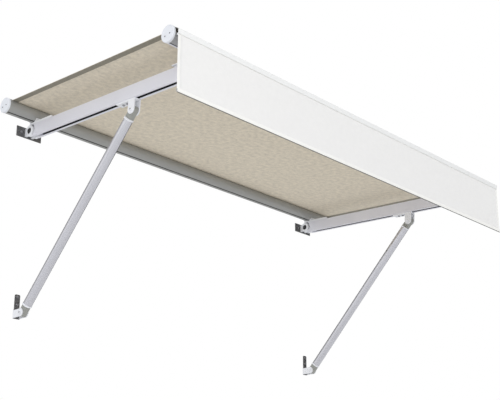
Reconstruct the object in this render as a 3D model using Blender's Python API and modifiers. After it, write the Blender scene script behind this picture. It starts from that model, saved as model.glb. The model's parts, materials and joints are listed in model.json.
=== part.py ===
"""Fabric awning on two guide rails: a rear housing with the fabric roller, a front housing that
slides along the rails and carries a drop valance, and two struts down to the wall.

World frame: metres, +Z up, X along the awning's width, the wall face at y = 0 and the front at -Y.
The origin is the middle of the left upper wall plate's back face."""
import math

import bmesh
import bpy
from mathutils import Matrix, Vector

# Layout
RAIL_SPACING = 2.48                  # between the centre planes of the rails
HOUSING_OVERHANG = 0.223             # from a rail's centre plane to an end cap's outer face
RAIL_PITCH = math.radians(4.1)       # slope of the rails, down towards the front
PIVOT_OUT = 0.050                    # hub axis in front of the wall
REAR_AXIS = 0.019                    # hub axis to the rear housing's axis, along the rail
FRONT_AXIS = 1.4505                  # hub axis to the front housing's axis, along the rail
HOUSING_LIFT = 0.093                 # rail centre line to the housing axes
CLEARANCE = 0.0003                   # between pieces that touch

# Guide rails
RAIL_WIDTH = 0.048
RAIL_HEIGHT = 0.077
RAIL_WALL = 0.003
RAIL_START = 0.030                   # hub axis to the rail's cut end
RAIL_END = 1.490                     # hub axis to the rail's front end
TOP_SLOT = 0.014
LOWER_SLOT = 0.020
LOWER_CHAMBER = 0.014                # height of the chamber that holds the slot nuts
RAIL_CAP = 0.004

# Hub at the wall
HUB_RADIUS = 0.034
HUB_WEB = 0.024                      # half height of the ears where they leave the plate
HUB_EAR = 0.011                      # an ear's reach into the rail's width
HUB_PROUD = 0.005                    # an ear's reach past the rail's side
HUB_BOLT_HEAD = 0.013                # radius
HUB_RUN = 0.004                      # running gap round the hub
HUB_CUT_AHEAD = 0.008                # the rail's round end is cut about a point ahead of the hub
HUB_BLOCK_END = 0.100                # the hub casting reaches this far into the rail
PIVOT_BOLT = 0.006                   # radius
BOLT_HEAD = 0.011                    # radius
BOLT_HEAD_HEIGHT = 0.005
UPPER_PLATE_WIDTH = 0.170
UPPER_PLATE_HEIGHT = 0.064
PLATE = 0.005                        # thickness of the wall plates
WALL_SCREW = 0.004                   # radius
WALL_SCREW_HEAD = 0.0075             # radius
WALL_SCREW_HEAD_HEIGHT = 0.004
UPPER_SCREW_INSET = 0.032             # from a plate's end to its screw

# Struts
STRUT_PIVOT_ALONG = 0.950            # hub axis to the clevis bolt, along the rail
STRUT_PIVOT_BELOW = 0.062            # rail underside to the clevis bolt
STRUT_FOOT_OUT = 0.070               # lower pivot in front of the wall
STRUT_FOOT_DROP = 1.106              # lower pivot below the hub axis
STRUT_RADIUS = 0.026
STRUT_WALL = 0.003
EYE_RADIUS = 0.023
EYE_WIDTH = 0.030
EYE_NECK = 0.050                     # pivot to collar
COLLAR_RADIUS = 0.028
COLLAR_LENGTH = 0.010
SPIGOT_LENGTH = 0.055
OPEN_PIVOT_PLAY = 0.0013             # the upper eye's bore takes up the linkage's small error
LUG = 0.006                          # thickness of the clevis and foot lugs
LUG_RADIUS = 0.026
LUG_PLAY = 0.0008                    # each side of the eye
CLEVIS_BASE = 0.010
CLEVIS_FOOT = 0.128                  # base plate behind the bolt
NUT_LENGTH = 0.062
NUT_SCREW = 0.004                    # radius
NUT_SCREW_HEAD = 0.0065
NUT_SCREW_SPREAD = 0.032             # between the two screws of a slot nut, along the rail
NUT_BACK = 0.074                     # bolt to the middle of the slot nut
LOWER_PLATE_WIDTH = 0.034
LOWER_PLATE_CORNER = 0.008           # radius
LOWER_PLATE_RISE = 0.117             # plate above the lower pivot
LOWER_PLATE_DROP = 0.025
LOWER_SCREW_FIRST = 0.058            # first screw above the lower pivot
LOWER_SCREW_STEP = 0.046

# Round housings
SHELL_RADIUS = 0.0445
SHELL_WALL = 0.002
CAP_RADIUS = 0.046
CAP_LENGTH = 0.014
CAP_ROUND = 0.004
CAP_SPIGOT = 0.014
CAP_SCREW = 0.0032                   # radius
CAP_SCREW_HEIGHT = 0.0015
CAP_SCREW_OFFSET = 0.017             # along the rail, each side of the axis
CAP_SCREW_DROP = 0.006
CAP_SCREW_SLANT = 0.004
SLOT_PLAY = 0.001                    # over and under the fabric where it passes a shell
GROOVE = math.radians(6)             # width of the groove between two shells
REAR_GROOVE_AT = math.radians(-71)
FRONT_GROOVE_AT = math.radians(-90)
SADDLE = 0.006                       # wall of a housing saddle
SADDLE_FRONT = math.radians(-32)
SADDLE_BACK = math.radians(-152)
SADDLE_BASE = 0.030                  # half length of a saddle's seat on the rail
FOOT_HEIGHT = 0.012
REAR_FOOT = 0.190                    # rear housing's axis to the end of its rail foot
FORK_START = 0.075                   # hub axis to the root of the rear foot's fork
FORK_GAP = 0.026
FRONT_FOOT = 0.190
FRONT_FOOT_PLATE = 0.006
FRONT_FOOT_GAP = 0.001               # between the front foot's plate and the rear fork
FRONT_FOOT_STEM = 0.022
SHOE_WIDTH = 0.036
SHOE_HEIGHT = 0.012
SHOE_LENGTH = 0.110
SHOE_NECK = 0.012
BEARING_PIN = 0.006                  # radius
BEARING_PIN_DEPTH = 0.020

# Rollers and cloth
ROLLER_RADIUS = 0.030
ROLLER_WALL = 0.0015
ROLLER_END_GAP = 0.004
MOTOR_RADIUS = 0.022
MOTOR_LENGTH = 0.480
IDLER_LENGTH = 0.060
FABRIC = 0.0010                      # thickness
FABRIC_INSET = 0.0285                # cap face to fabric edge
HEM_WIDTH = 0.043
BEAD_RADIUS = 0.003
VALANCE_INSET = 0.0157               # cap face to valance edge
VALANCE_ROLLER = 0.017
VALANCE_DROP = 0.304
VALANCE_HEM = 0.020
BAR_HEIGHT = 0.014
BAR_THICKNESS = 0.006
NOSE_REACH = 0.0616                  # front axis to the nose's front
NOSE_DROP = 0.011                    # front axis down to the nose tip
NOSE_RADIUS = 0.004
NOSE_LAP = 0.003                     # the valance's wide part starts below the nose's middle
NOSE_AT = math.radians(-14)          # where the nose leaves the shell
MOUTH_AT = math.radians(-6)          # where the valance cloth passes the shell's line
FASCIA_TOP = 0.014                   # front axis up to the fascia's upper edge
FASCIA_FOOT = -0.006

# Belt drive in the rails
PULLEY_RADIUS = 0.0125
PULLEY_WIDTH = 0.012
PULLEY_PIN = 0.004
BELT = 0.0012
BELT_WIDTH = 0.010
BELT_LEVEL = 0.002                   # pulley axes above the rail's centre line
REAR_PULLEY = 0.160
FRONT_PULLEY_BACK = 0.035            # from the rail's front end

SEGMENTS = 36
SMALL_SEGMENTS = 12

# Worked out from the sizes above
RAIL_TOP = RAIL_HEIGHT / 2
UPPER_SCREW_OFFSET = UPPER_PLATE_WIDTH / 2 - UPPER_SCREW_INSET
SADDLE_INNER = SHELL_RADIUS + CLEARANCE
SADDLE_OUTER = SADDLE_INNER + SADDLE
SHELL_INNER = SHELL_RADIUS - SHELL_WALL
WEB_LOW = -RAIL_TOP + RAIL_WALL + LOWER_CHAMBER
WEB_HIGH = WEB_LOW + RAIL_WALL
CHAMBER_TOP = RAIL_TOP - RAIL_WALL
CHAMBER_HALF = RAIL_WIDTH / 2 - RAIL_WALL
SADDLE_SEAT = RAIL_TOP + CLEARANCE - HOUSING_LIFT
STRUT_PIVOT_DEPTH = RAIL_TOP + STRUT_PIVOT_BELOW
FABRIC_LIFT = ROLLER_RADIUS + CLEARANCE + FABRIC  # main fabric above the housing axes
SLOT_LOW = math.asin((FABRIC_LIFT - FABRIC / 2 - SLOT_PLAY) / SHELL_RADIUS)
SLOT_HIGH = math.asin((FABRIC_LIFT + FABRIC / 2 + SLOT_PLAY) / SHELL_INNER)
SIDES = (("left", 0.0, -1), ("right", RAIL_SPACING, 1))
HOUSING_LEFT = -HOUSING_OVERHANG
HOUSING_RIGHT = RAIL_SPACING + HOUSING_OVERHANG


def clear_scene():
    for thing in list(bpy.data.objects):
        bpy.data.objects.remove(thing)
    for group in list(bpy.data.collections):
        bpy.data.collections.remove(group)


clear_scene()
AWNING = bpy.data.collections.new("fabric_awning")
CUTTERS = bpy.data.collections.new("cutters")
bpy.context.scene.collection.children.link(AWNING)
bpy.context.scene.collection.children.link(CUTTERS)
FINISHES = {}


def finish(name, colour, roughness, metallic=0.0):
    """A Principled material, made once for each finish."""
    if name not in FINISHES:
        material = bpy.data.materials.new(name)
        material.use_nodes = True
        shader = material.node_tree.nodes["Principled BSDF"]
        shader.inputs["Base Color"].default_value = (*colour, 1.0)
        shader.inputs["Roughness"].default_value = roughness
        shader.inputs["Metallic"].default_value = metallic
        material.diffuse_color = (*colour, 1.0)
        FINISHES[name] = material
    return FINISHES[name]


def anodised():
    return finish("anodised_aluminium", (0.62, 0.63, 0.67), 0.35, 0.9)


def coated():
    return finish("white_coated_aluminium", (0.86, 0.87, 0.88), 0.35)


def cast():
    return finish("white_cast_fitting", (0.80, 0.81, 0.83), 0.45)


def tube_metal():
    return finish("roller_aluminium", (0.55, 0.55, 0.56), 0.40, 0.9)


def steel():
    return finish("stainless_steel", (0.50, 0.50, 0.52), 0.30, 1.0)


# Frames: each is an empty on the axis of the joint that moves its pieces
def frame(name, location, tilt=0.0, parent=None):
    axis = bpy.data.objects.new(name, None)
    axis.empty_display_size = 0.05
    AWNING.objects.link(axis)
    axis.parent = parent
    axis.location = location
    axis.rotation_euler = (tilt, 0.0, 0.0)
    return axis


def put(piece, parent, material):
    """Hands a finished piece its frame and its material."""
    piece.parent = parent
    piece.data.materials.clear()
    piece.data.materials.append(material)
    return piece


def shade(mesh):
    mesh.shade_smooth()
    mesh.set_sharp_from_angle(angle=math.radians(30))


# Shapes
AXES = {
    "X": Matrix(((0, 0, 1, 0), (1, 0, 0, 0), (0, 1, 0, 0), (0, 0, 0, 1))),
    "Y": Matrix(((1, 0, 0, 0), (0, 0, -1, 0), (0, 1, 0, 0), (0, 0, 0, 1))),
}


def prism(name, outlines, low, high, axis="X"):
    """Closed outlines, the later ones holes, drawn in (y, z) for axis X or (x, z) for axis Y
    and carried along that axis from low to high."""
    curve = bpy.data.curves.new(name, "CURVE")
    curve.dimensions = "2D"
    curve.fill_mode = "BOTH"
    curve.extrude = (high - low) / 2
    for outline in outlines:
        spline = curve.splines.new("POLY")
        spline.points.add(len(outline) - 1)
        for point, (u, v) in zip(spline.points, outline):
            point.co = (u, v, 0.0, 1.0)
        spline.use_cyclic_u = True
    guide = bpy.data.objects.new(name, curve)
    CUTTERS.objects.link(guide)
    bpy.context.view_layer.update()
    mesh = bpy.data.meshes.new_from_object(guide.evaluated_get(bpy.context.evaluated_depsgraph_get()))
    bpy.data.objects.remove(guide)
    middle = (low + high) / 2
    mesh.transform(Matrix.Translation(Vector((0, 0, middle if axis == "X" else -middle))))
    mesh.transform(AXES[axis])
    work = bmesh.new()
    work.from_mesh(mesh)
    bmesh.ops.remove_doubles(work, verts=work.verts, dist=1e-6)
    bmesh.ops.recalc_face_normals(work, faces=work.faces)
    work.to_mesh(mesh)
    work.free()
    mesh.name = name
    shade(mesh)
    piece = bpy.data.objects.new(name, mesh)
    AWNING.objects.link(piece)
    return piece


def block(name, low, high):
    """A box from its lowest to its highest corner."""
    bpy.ops.mesh.primitive_cube_add(size=1.0)
    piece = bpy.context.object
    size = Vector(high) - Vector(low)
    piece.data.transform(Matrix.Diagonal((*size, 1.0)))
    piece.data.transform(Matrix.Translation((Vector(high) + Vector(low)) / 2))
    piece.name = piece.data.name = name
    move_to(piece, AWNING)
    return piece


def turned(name, profile, centre, facing="X", closed=False, steps=SEGMENTS):
    """A profile of (radius, height) pairs, from the top down its outer side, turned about the
    line through centre. Facing X or -X, Y or -Y gives the way that its top looks; Z leaves it."""
    mesh = bpy.data.meshes.new(name)
    points = [(radius, 0.0, height) for radius, height in profile]
    edges = [(i, i + 1) for i in range(len(points) - 1)]
    if closed:
        edges.append((len(points) - 1, 0))
    mesh.from_pydata(points, edges, [])
    piece = bpy.data.objects.new(name, mesh)
    AWNING.objects.link(piece)
    screw = piece.modifiers.new("turn", "SCREW")
    screw.steps = steps
    screw.render_steps = steps
    screw.use_merge_vertices = True
    screw.merge_threshold = 0.0001
    screw.use_smooth_shade = True
    turn = {
        "X": Matrix.Rotation(math.pi / 2, 4, "Y"),
        "-X": Matrix.Rotation(-math.pi / 2, 4, "Y"),
        "Y": Matrix.Rotation(-math.pi / 2, 4, "X"),
        "-Y": Matrix.Rotation(math.pi / 2, 4, "X"),
        "Z": Matrix.Identity(4),
        "-Z": Matrix.Rotation(math.pi, 4, "X"),
    }
    piece.matrix_basis = Matrix.Translation(Vector(centre)) @ turn[facing]
    return piece


def move_to(piece, collection):
    for group in list(piece.users_collection):
        group.objects.unlink(piece)
    collection.objects.link(piece)


def combine(piece, tools, operation):
    """Joins or cuts piece with each tool, which then counts as a cutter."""
    for tool in tools:
        step = piece.modifiers.new(operation.lower(), "BOOLEAN")
        step.operation = operation
        step.solver = "EXACT"
        step.object = tool
        tool.hide_render = True
        tool.display_type = "WIRE"
        tool.parent = piece.parent
        move_to(tool, CUTTERS)
    return piece


def rod(name, radius, low, high, at, axis="X", steps=SMALL_SEGMENTS):
    """A plain round bar along axis from low to high, through at."""
    if axis == "X":
        centre = (low, at[0], at[1])
    elif axis == "Y":
        centre = (at[0], low, at[1])
    else:
        centre = (at[0], at[1], low)
    length = high - low
    return turned(name, [(0, length), (radius, length), (radius, 0), (0, 0)], centre, axis, steps=steps)


def bolt(name, radius, head, head_height, low, high, at, steps=SMALL_SEGMENTS):
    """A bolt along X through at, with a head outside each end of its grip."""
    profile = [
        (0, high + head_height),
        (head, high + head_height),
        (head, high),
        (radius, high),
        (radius, low),
        (head, low),
        (head, low - head_height),
        (0, low - head_height),
    ]
    return turned(name, profile, (0, at[0], at[1]), steps=steps)


def circle(centre, radius, steps=SMALL_SEGMENTS):
    """Points round a circle, for a hole in an outline."""
    return [
        (
            centre[0] + radius * math.cos(2 * math.pi * i / steps),
            centre[1] + radius * math.sin(2 * math.pi * i / steps),
        )
        for i in range(steps)
    ]


def arc(centre, radius, start, end, steps=None):
    """Points on a circle seen from the side: angle 0 looks to the front (-Y), a quarter turn up."""
    if steps is None:
        steps = max(4, round(abs(end - start) / (2 * math.pi) * SEGMENTS))
    points = []
    for i in range(steps + 1):
        angle = start + (end - start) * i / steps
        points.append((centre[0] - radius * math.cos(angle), centre[1] + radius * math.sin(angle)))
    return points


def shell_outline(start, end):
    """A housing shell's section, from its outer arc back along its inner one."""
    return arc((0, 0), SHELL_RADIUS, start, end) + arc((0, 0), SHELL_INNER, end, start)


def ribbon(path, thickness):
    """The outline of a strip of even thickness that follows an open path."""
    left, right = [], []
    for i, point in enumerate(path):
        before = Vector(path[max(i - 1, 0)])
        after = Vector(path[min(i + 1, len(path) - 1)])
        here = Vector(point)
        ways = [way.normalized() for way in (here - before, after - here) if way.length > 1e-9]
        way = sum(ways, Vector((0, 0))).normalized()
        side = Vector((-way.y, way.x)) * thickness / 2 / max(way.dot(ways[0]), 0.5)
        left.append(tuple(here + side))
        right.append(tuple(here - side))
    return left + right[::-1]


def round_ear(centre, radius, half_web, wall):
    """A disc's outline with a straight web that runs back (+Y) to wall."""
    start = math.pi - math.asin(half_web / radius)
    points = arc(centre, radius, start, -start)
    return points + [(wall, centre[1] - half_web), (wall, centre[1] + half_web)]


# Frames of the moving bodies
RAILS = frame("rail_frame_axis", (0, -PIVOT_OUT, 0), RAIL_PITCH)
REAR = frame("rear_housing_axis", (0, -REAR_AXIS, HOUSING_LIFT), parent=RAILS)
FRONT = frame("front_housing_axis", (0, -FRONT_AXIS, HOUSING_LIFT), parent=RAILS)
CLEVIS = frame("clevis_bolt_axis", (0, -STRUT_PIVOT_ALONG, -STRUT_PIVOT_DEPTH), parent=RAILS)
clevis_world = (
    -PIVOT_OUT - STRUT_PIVOT_ALONG * math.cos(RAIL_PITCH) + STRUT_PIVOT_DEPTH * math.sin(RAIL_PITCH),
    -STRUT_PIVOT_ALONG * math.sin(RAIL_PITCH) - STRUT_PIVOT_DEPTH * math.cos(RAIL_PITCH),
)
strut_reach = (-STRUT_FOOT_OUT - clevis_world[0], clevis_world[1] + STRUT_FOOT_DROP)
STRUT_LENGTH = math.hypot(*strut_reach)
STRUT = frame("strut_foot_axis", (0, -STRUT_FOOT_OUT, -STRUT_FOOT_DROP), math.atan2(*strut_reach))


def upper_wall_bracket(side, x, out):
    """A wall plate with two round ears for the rail's hub."""
    half_w, half_h = UPPER_PLATE_WIDTH / 2, UPPER_PLATE_HEIGHT / 2
    holes = [circle((x + s * UPPER_SCREW_OFFSET, 0), WALL_SCREW + CLEARANCE) for s in (-1, 1)]
    outline = [(x - half_w, -half_h), (x + half_w, -half_h), (x + half_w, half_h), (x - half_w, half_h)]
    plate = prism(f"upper_wall_bracket_{side}", [outline, *holes], -PLATE, 0, "Y")
    ears = []
    for edge in (-1, 1):
        outer = x + edge * (RAIL_WIDTH / 2 + HUB_PROUD)
        inner = x + edge * (RAIL_WIDTH / 2 - HUB_EAR)
        shape = [
            round_ear((-PIVOT_OUT, 0), HUB_RADIUS, HUB_WEB, -PLATE / 2),
            circle((-PIVOT_OUT, 0), PIVOT_BOLT + CLEARANCE),
        ]
        ears.append(prism(f"hub_ear_{side}_{edge}", shape, min(inner, outer), max(inner, outer)))
    put(combine(plate, ears, "UNION"), None, cast())


def wall_screw(name, x, z):
    """A round-headed wall screw, cut off at the wall face."""
    profile = [
        (0, PLATE + WALL_SCREW_HEAD_HEIGHT + CLEARANCE),
        (WALL_SCREW_HEAD * 0.7, PLATE + WALL_SCREW_HEAD_HEIGHT + CLEARANCE),
        (WALL_SCREW_HEAD, PLATE + WALL_SCREW_HEAD_HEIGHT / 2),
        (WALL_SCREW_HEAD, PLATE + CLEARANCE),
        (WALL_SCREW, PLATE + CLEARANCE),
        (WALL_SCREW, 0),
        (0, 0),
    ]
    put(turned(name, profile, (x, 0, z), "-Y", steps=SMALL_SEGMENTS), None, steel())


def rail_section(x):
    """The rail's section in (x, z): a box with a web, a slot above and a slot below."""
    w, h, t = RAIL_WIDTH / 2, RAIL_TOP, RAIL_WALL
    a, b = TOP_SLOT / 2, LOWER_SLOT / 2
    right = [(a, h), (w, h), (w, -h), (b, -h), (b, -h + t), (w - t, -h + t), (w - t, WEB_LOW)]
    left = [(-w + t, WEB_LOW), (-w + t, -h + t), (-b, -h + t), (-b, -h), (-w, -h), (-w, h), (-a, h)]
    inside = [(-a, h - t), (-w + t, h - t), (-w + t, WEB_HIGH), (w - t, WEB_HIGH), (w - t, h - t), (a, h - t)]
    return [(x + u, v) for u, v in right + left + inside]


def guide_rail(side, x, out):
    rail = prism(f"guide_rail_{side}", [rail_section(x)], -RAIL_END, -RAIL_START, "Y")
    rail.parent = RAILS
    reach = RAIL_WIDTH
    at = (-HUB_CUT_AHEAD, 0)
    cutter = rod(f"hub_room_{side}", HUB_RADIUS + HUB_RUN, x - reach, x + reach, at, steps=SEGMENTS)
    put(combine(rail, [cutter], "DIFFERENCE"), RAILS, anodised())


def rail_hub(side, x, out):
    """The rail's wall end: a tongue between the ears and a block inside the rail."""
    half = RAIL_WIDTH / 2 - HUB_EAR - CLEARANCE
    neck = -WEB_HIGH - CLEARANCE
    turn = math.asin(neck / (HUB_RADIUS - HUB_RUN / 2))
    tongue = arc((0, 0), HUB_RADIUS - HUB_RUN / 2, turn, 2 * math.pi - turn)
    body = prism(
        f"rail_hub_{side}",
        [
            tongue + [(-HUB_BLOCK_END / 2, -neck), (-HUB_BLOCK_END / 2, neck)],
            circle((0, 0), PIVOT_BOLT + CLEARANCE),
        ],
        x - half,
        x + half,
    )
    body.parent = RAILS
    low = WEB_HIGH + CLEARANCE
    high = CHAMBER_TOP - CLEARANCE
    inner = CHAMBER_HALF - CLEARANCE
    inside = block(
        f"hub_block_{side}",
        (x - inner, -HUB_BLOCK_END, low),
        (x + inner, -HUB_RADIUS - HUB_RUN - HUB_CUT_AHEAD - CLEARANCE, high),
    )
    put(combine(body, [inside], "UNION"), RAILS, cast())


def rail_front_cap(side, x, out):
    cap = block(
        f"rail_front_cap_{side}",
        (x - RAIL_WIDTH / 2, -RAIL_END - RAIL_CAP - CLEARANCE, -RAIL_TOP),
        (x + RAIL_WIDTH / 2, -RAIL_END - CLEARANCE, RAIL_TOP),
    )
    cap.parent = RAILS
    inner = CHAMBER_HALF - CLEARANCE
    tongue = block(
        f"cap_tongue_{side}",
        (x - inner, -RAIL_END - RAIL_CAP / 2, WEB_HIGH + CLEARANCE),
        (x + inner, -RAIL_END + RAIL_CAP * 2, WEB_HIGH + LOWER_CHAMBER),
    )
    put(combine(cap, [tongue], "UNION"), RAILS, finish("grey_plastic", (0.45, 0.46, 0.48), 0.5))


def saddle_outline(foot_low, foot_high, foot_end, toward):
    """A saddle under a housing with a flat seat on the rail, drawn about the housing's axis.
    Toward is -1 for a foot that runs to the front and 1 for one that runs to the wall."""
    meet = math.asin(foot_high / SADDLE_OUTER)
    rise = math.acos(-SADDLE_BASE / SADDLE_OUTER)
    outline = arc((0, 0), SADDLE_INNER, SADDLE_BACK, SADDLE_FRONT)
    outline += arc((0, 0), SADDLE_OUTER, SADDLE_FRONT, meet, 2)
    outline += [(-foot_end, foot_high), (-foot_end, foot_low)]
    if foot_low > SADDLE_SEAT:
        outline += [(-SADDLE_BASE, foot_low), (-SADDLE_BASE, SADDLE_SEAT)]
    outline += [(SADDLE_BASE, SADDLE_SEAT)] + arc((0, 0), SADDLE_OUTER, -rise, SADDLE_BACK)
    return [(-toward * y, z) for y, z in outline]


def rear_saddle(side, x, out):
    """The rear housing's bracket: a saddle, and a foot on the rail that ends in a fork."""
    low = SADDLE_SEAT
    high = RAIL_TOP + FOOT_HEIGHT - HOUSING_LIFT
    outline = saddle_outline(low, high, REAR_FOOT, -1)
    half = RAIL_WIDTH / 2
    saddle = prism(f"rear_saddle_{side}", [outline], x - half, x + half)
    saddle.parent = REAR
    channel = block(
        f"fork_room_{side}",
        (x - FORK_GAP / 2, -REAR_FOOT - FOOT_HEIGHT, low - FOOT_HEIGHT),
        (x + FORK_GAP / 2, -FORK_START + REAR_AXIS, high + FOOT_HEIGHT),
    )
    put(combine(saddle, [channel], "DIFFERENCE"), REAR, cast())


def front_runner(side, x, out):
    """The front housing's bracket: a saddle, a foot plate that passes over the rear fork, and a
    shoe that runs in the rail's upper chamber."""
    top = RAIL_TOP - HOUSING_LIFT
    low = top + FOOT_HEIGHT + FRONT_FOOT_GAP
    high = low + FRONT_FOOT_PLATE
    half = RAIL_WIDTH / 2
    start = SADDLE_BASE * 0.85
    outline = saddle_outline(low, high, FRONT_FOOT, 1)
    body = prism(f"front_runner_{side}", [outline], x - half, x + half)
    body.parent = FRONT
    stem = block(
        f"runner_stem_{side}",
        (x - FRONT_FOOT_STEM / 2, start, SADDLE_SEAT),
        (x + FRONT_FOOT_STEM / 2, FRONT_FOOT - FRONT_FOOT_PLATE, low + FRONT_FOOT_PLATE / 2),
    )
    neck = block(
        f"runner_neck_{side}",
        (x - SHOE_NECK / 2, start, top - RAIL_WALL * 2),
        (x + SHOE_NECK / 2, start + SHOE_LENGTH, top + FOOT_HEIGHT / 2),
    )
    shoe_top = top - RAIL_WALL - CLEARANCE
    shoe = block(
        f"runner_shoe_{side}",
        (x - SHOE_WIDTH / 2, start, shoe_top - SHOE_HEIGHT),
        (x + SHOE_WIDTH / 2, start + SHOE_LENGTH, shoe_top),
    )
    belt_top = BELT_LEVEL + PULLEY_RADIUS + CLEARANCE + BELT - HOUSING_LIFT
    clamp = block(
        f"belt_clamp_{side}",
        (x - BELT_WIDTH / 2, start + SHOE_LENGTH * 0.4, belt_top + CLEARANCE),
        (x + BELT_WIDTH / 2, start + SHOE_LENGTH * 0.6, shoe_top - SHOE_HEIGHT / 2),
    )
    put(combine(body, [stem, neck, shoe, clamp], "UNION"), FRONT, cast())


def housing_shell(name, outline, parent, material):
    low = HOUSING_LEFT + CAP_LENGTH + CLEARANCE
    high = HOUSING_RIGHT - CAP_LENGTH - CLEARANCE
    put(prism(name, [outline], low, high), parent, material)


def end_cap(name, x, out, parent, bore):
    """A round cap: rounded rim, a spigot inside the shells, two screws, a bearing bore."""
    inner = SHELL_INNER - CLEARANCE
    profile = [
        (0, CAP_LENGTH),
        (CAP_RADIUS - CAP_ROUND, CAP_LENGTH),
        (CAP_RADIUS - CAP_ROUND * 0.3, CAP_LENGTH - CAP_ROUND * 0.3),
        (CAP_RADIUS, CAP_LENGTH - CAP_ROUND),
        (CAP_RADIUS, 0),
        (inner, 0),
        (inner, -CAP_SPIGOT),
        (0, -CAP_SPIGOT),
    ]
    base = x - out * CAP_LENGTH
    cap = turned(name, profile, (base, 0, 0), "X" if out > 0 else "-X")
    cap.parent = parent
    tools = []
    for step in (-1, 1):
        at = (step * CAP_SCREW_OFFSET, -CAP_SCREW_DROP - step * CAP_SCREW_SLANT)
        ends = sorted((x - out * CAP_SCREW_HEIGHT, x + out * CAP_SCREW_HEIGHT))
        tools.append(rod(f"{name}_screw_{step}", CAP_SCREW, *ends, at, steps=12))
    combine(cap, tools, "UNION")
    ends = sorted((base - out * CAP_SPIGOT * 2, base + out * (BEARING_PIN_DEPTH - CAP_SPIGOT)))
    room = rod(f"{name}_bore", bore + CLEARANCE, *ends, (0, 0))
    put(combine(cap, [room], "DIFFERENCE"), parent, coated())


def rear_housing():
    """Two shells: the fabric leaves between them above, and a groove parts them below."""
    groove = REAR_GROOVE_AT
    body = shell_outline(groove - GROOVE / 2, -2 * math.pi + SLOT_HIGH)
    cover = shell_outline(groove + GROOVE / 2, SLOT_LOW)
    housing_shell("rear_housing_body", body, REAR, anodised())
    housing_shell("rear_housing_cover", cover, REAR, anodised())
    end_cap("rear_end_cap_left", HOUSING_LEFT, -1, REAR, BEARING_PIN)
    end_cap("rear_end_cap_right", HOUSING_RIGHT, 1, REAR, BEARING_PIN)


def nose_path():
    """The nose's middle line: along the shell from the groove, then out to the rounded tip."""
    middle = SHELL_RADIUS - SHELL_WALL / 2
    path = arc((0, 0), middle, FRONT_GROOVE_AT + GROOVE / 2, NOSE_AT)
    return path + [(-NOSE_REACH + NOSE_RADIUS, -NOSE_DROP - NOSE_RADIUS)]


def front_housing():
    """Three shells: body behind, cover above, nose below. The fabric ends in the slot above,
    the valance comes out between cover and nose, and a groove parts nose and body below."""
    groove = FRONT_GROOVE_AT
    body = shell_outline(groove - GROOVE / 2, -math.pi - SLOT_LOW)
    housing_shell("front_housing_body", body, FRONT, anodised())
    middle = SHELL_RADIUS - SHELL_WALL / 2
    front = NOSE_REACH + FABRIC * 2 + SHELL_WALL / 2
    corner = math.hypot(front, FASCIA_TOP)
    tangent = math.asin(FASCIA_TOP / corner) + math.acos(middle / corner)
    fascia = [(-front, FASCIA_FOOT), (-front, FASCIA_TOP)]
    cover = fascia + arc((0, 0), middle, tangent, math.pi - SLOT_HIGH)
    housing_shell("front_housing_cover", ribbon(cover, SHELL_WALL), FRONT, coated())
    nose = ribbon(nose_path(), SHELL_WALL)
    low = HOUSING_LEFT + CAP_LENGTH + CLEARANCE
    high = HOUSING_RIGHT - CAP_LENGTH - CLEARANCE
    lip = prism("front_housing_nose", [nose], low, high)
    lip.parent = FRONT
    bead = rod("nose_bead", NOSE_RADIUS, low, high, nose_path()[-1])
    put(combine(lip, [bead], "UNION"), FRONT, coated())
    end_cap("front_end_cap_left", HOUSING_LEFT, -1, FRONT, BEARING_PIN)
    end_cap("front_end_cap_right", HOUSING_RIGHT, 1, FRONT, BEARING_PIN)


def fabric_roller():
    """The roller tube, its motor at the right end and its idler at the left one."""
    low = HOUSING_LEFT + CAP_LENGTH + CAP_SPIGOT + ROLLER_END_GAP
    high = HOUSING_RIGHT - CAP_LENGTH - CAP_SPIGOT - ROLLER_END_GAP
    inner = ROLLER_RADIUS - ROLLER_WALL
    ring = [(ROLLER_RADIUS, high), (ROLLER_RADIUS, low), (inner, low), (inner, high)]
    put(turned("fabric_roller", ring, (0, 0, 0), closed=True), REAR, tube_metal())
    pin = BEARING_PIN
    reach = ROLLER_END_GAP + BEARING_PIN_DEPTH - CLEARANCE
    sleeve = inner - CLEARANCE
    motor = [
        (0, reach),
        (pin, reach),
        (pin, 0),
        (sleeve, 0),
        (sleeve, -IDLER_LENGTH),
        (MOTOR_RADIUS, -IDLER_LENGTH),
        (MOTOR_RADIUS, -MOTOR_LENGTH),
        (sleeve, -MOTOR_LENGTH),
        (sleeve, -MOTOR_LENGTH - IDLER_LENGTH / 2),
        (0, -MOTOR_LENGTH - IDLER_LENGTH / 2),
    ]
    black = finish("black_plastic", (0.05, 0.05, 0.055), 0.5)
    put(turned("tube_motor", motor, (high, 0, 0)), REAR, black)
    idler = [(0, reach), (pin, reach), (pin, 0), (sleeve, 0), (sleeve, -IDLER_LENGTH), (0, -IDLER_LENGTH)]
    put(turned("roller_idler", idler, (low, 0, 0), "-X"), REAR, black)


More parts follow.
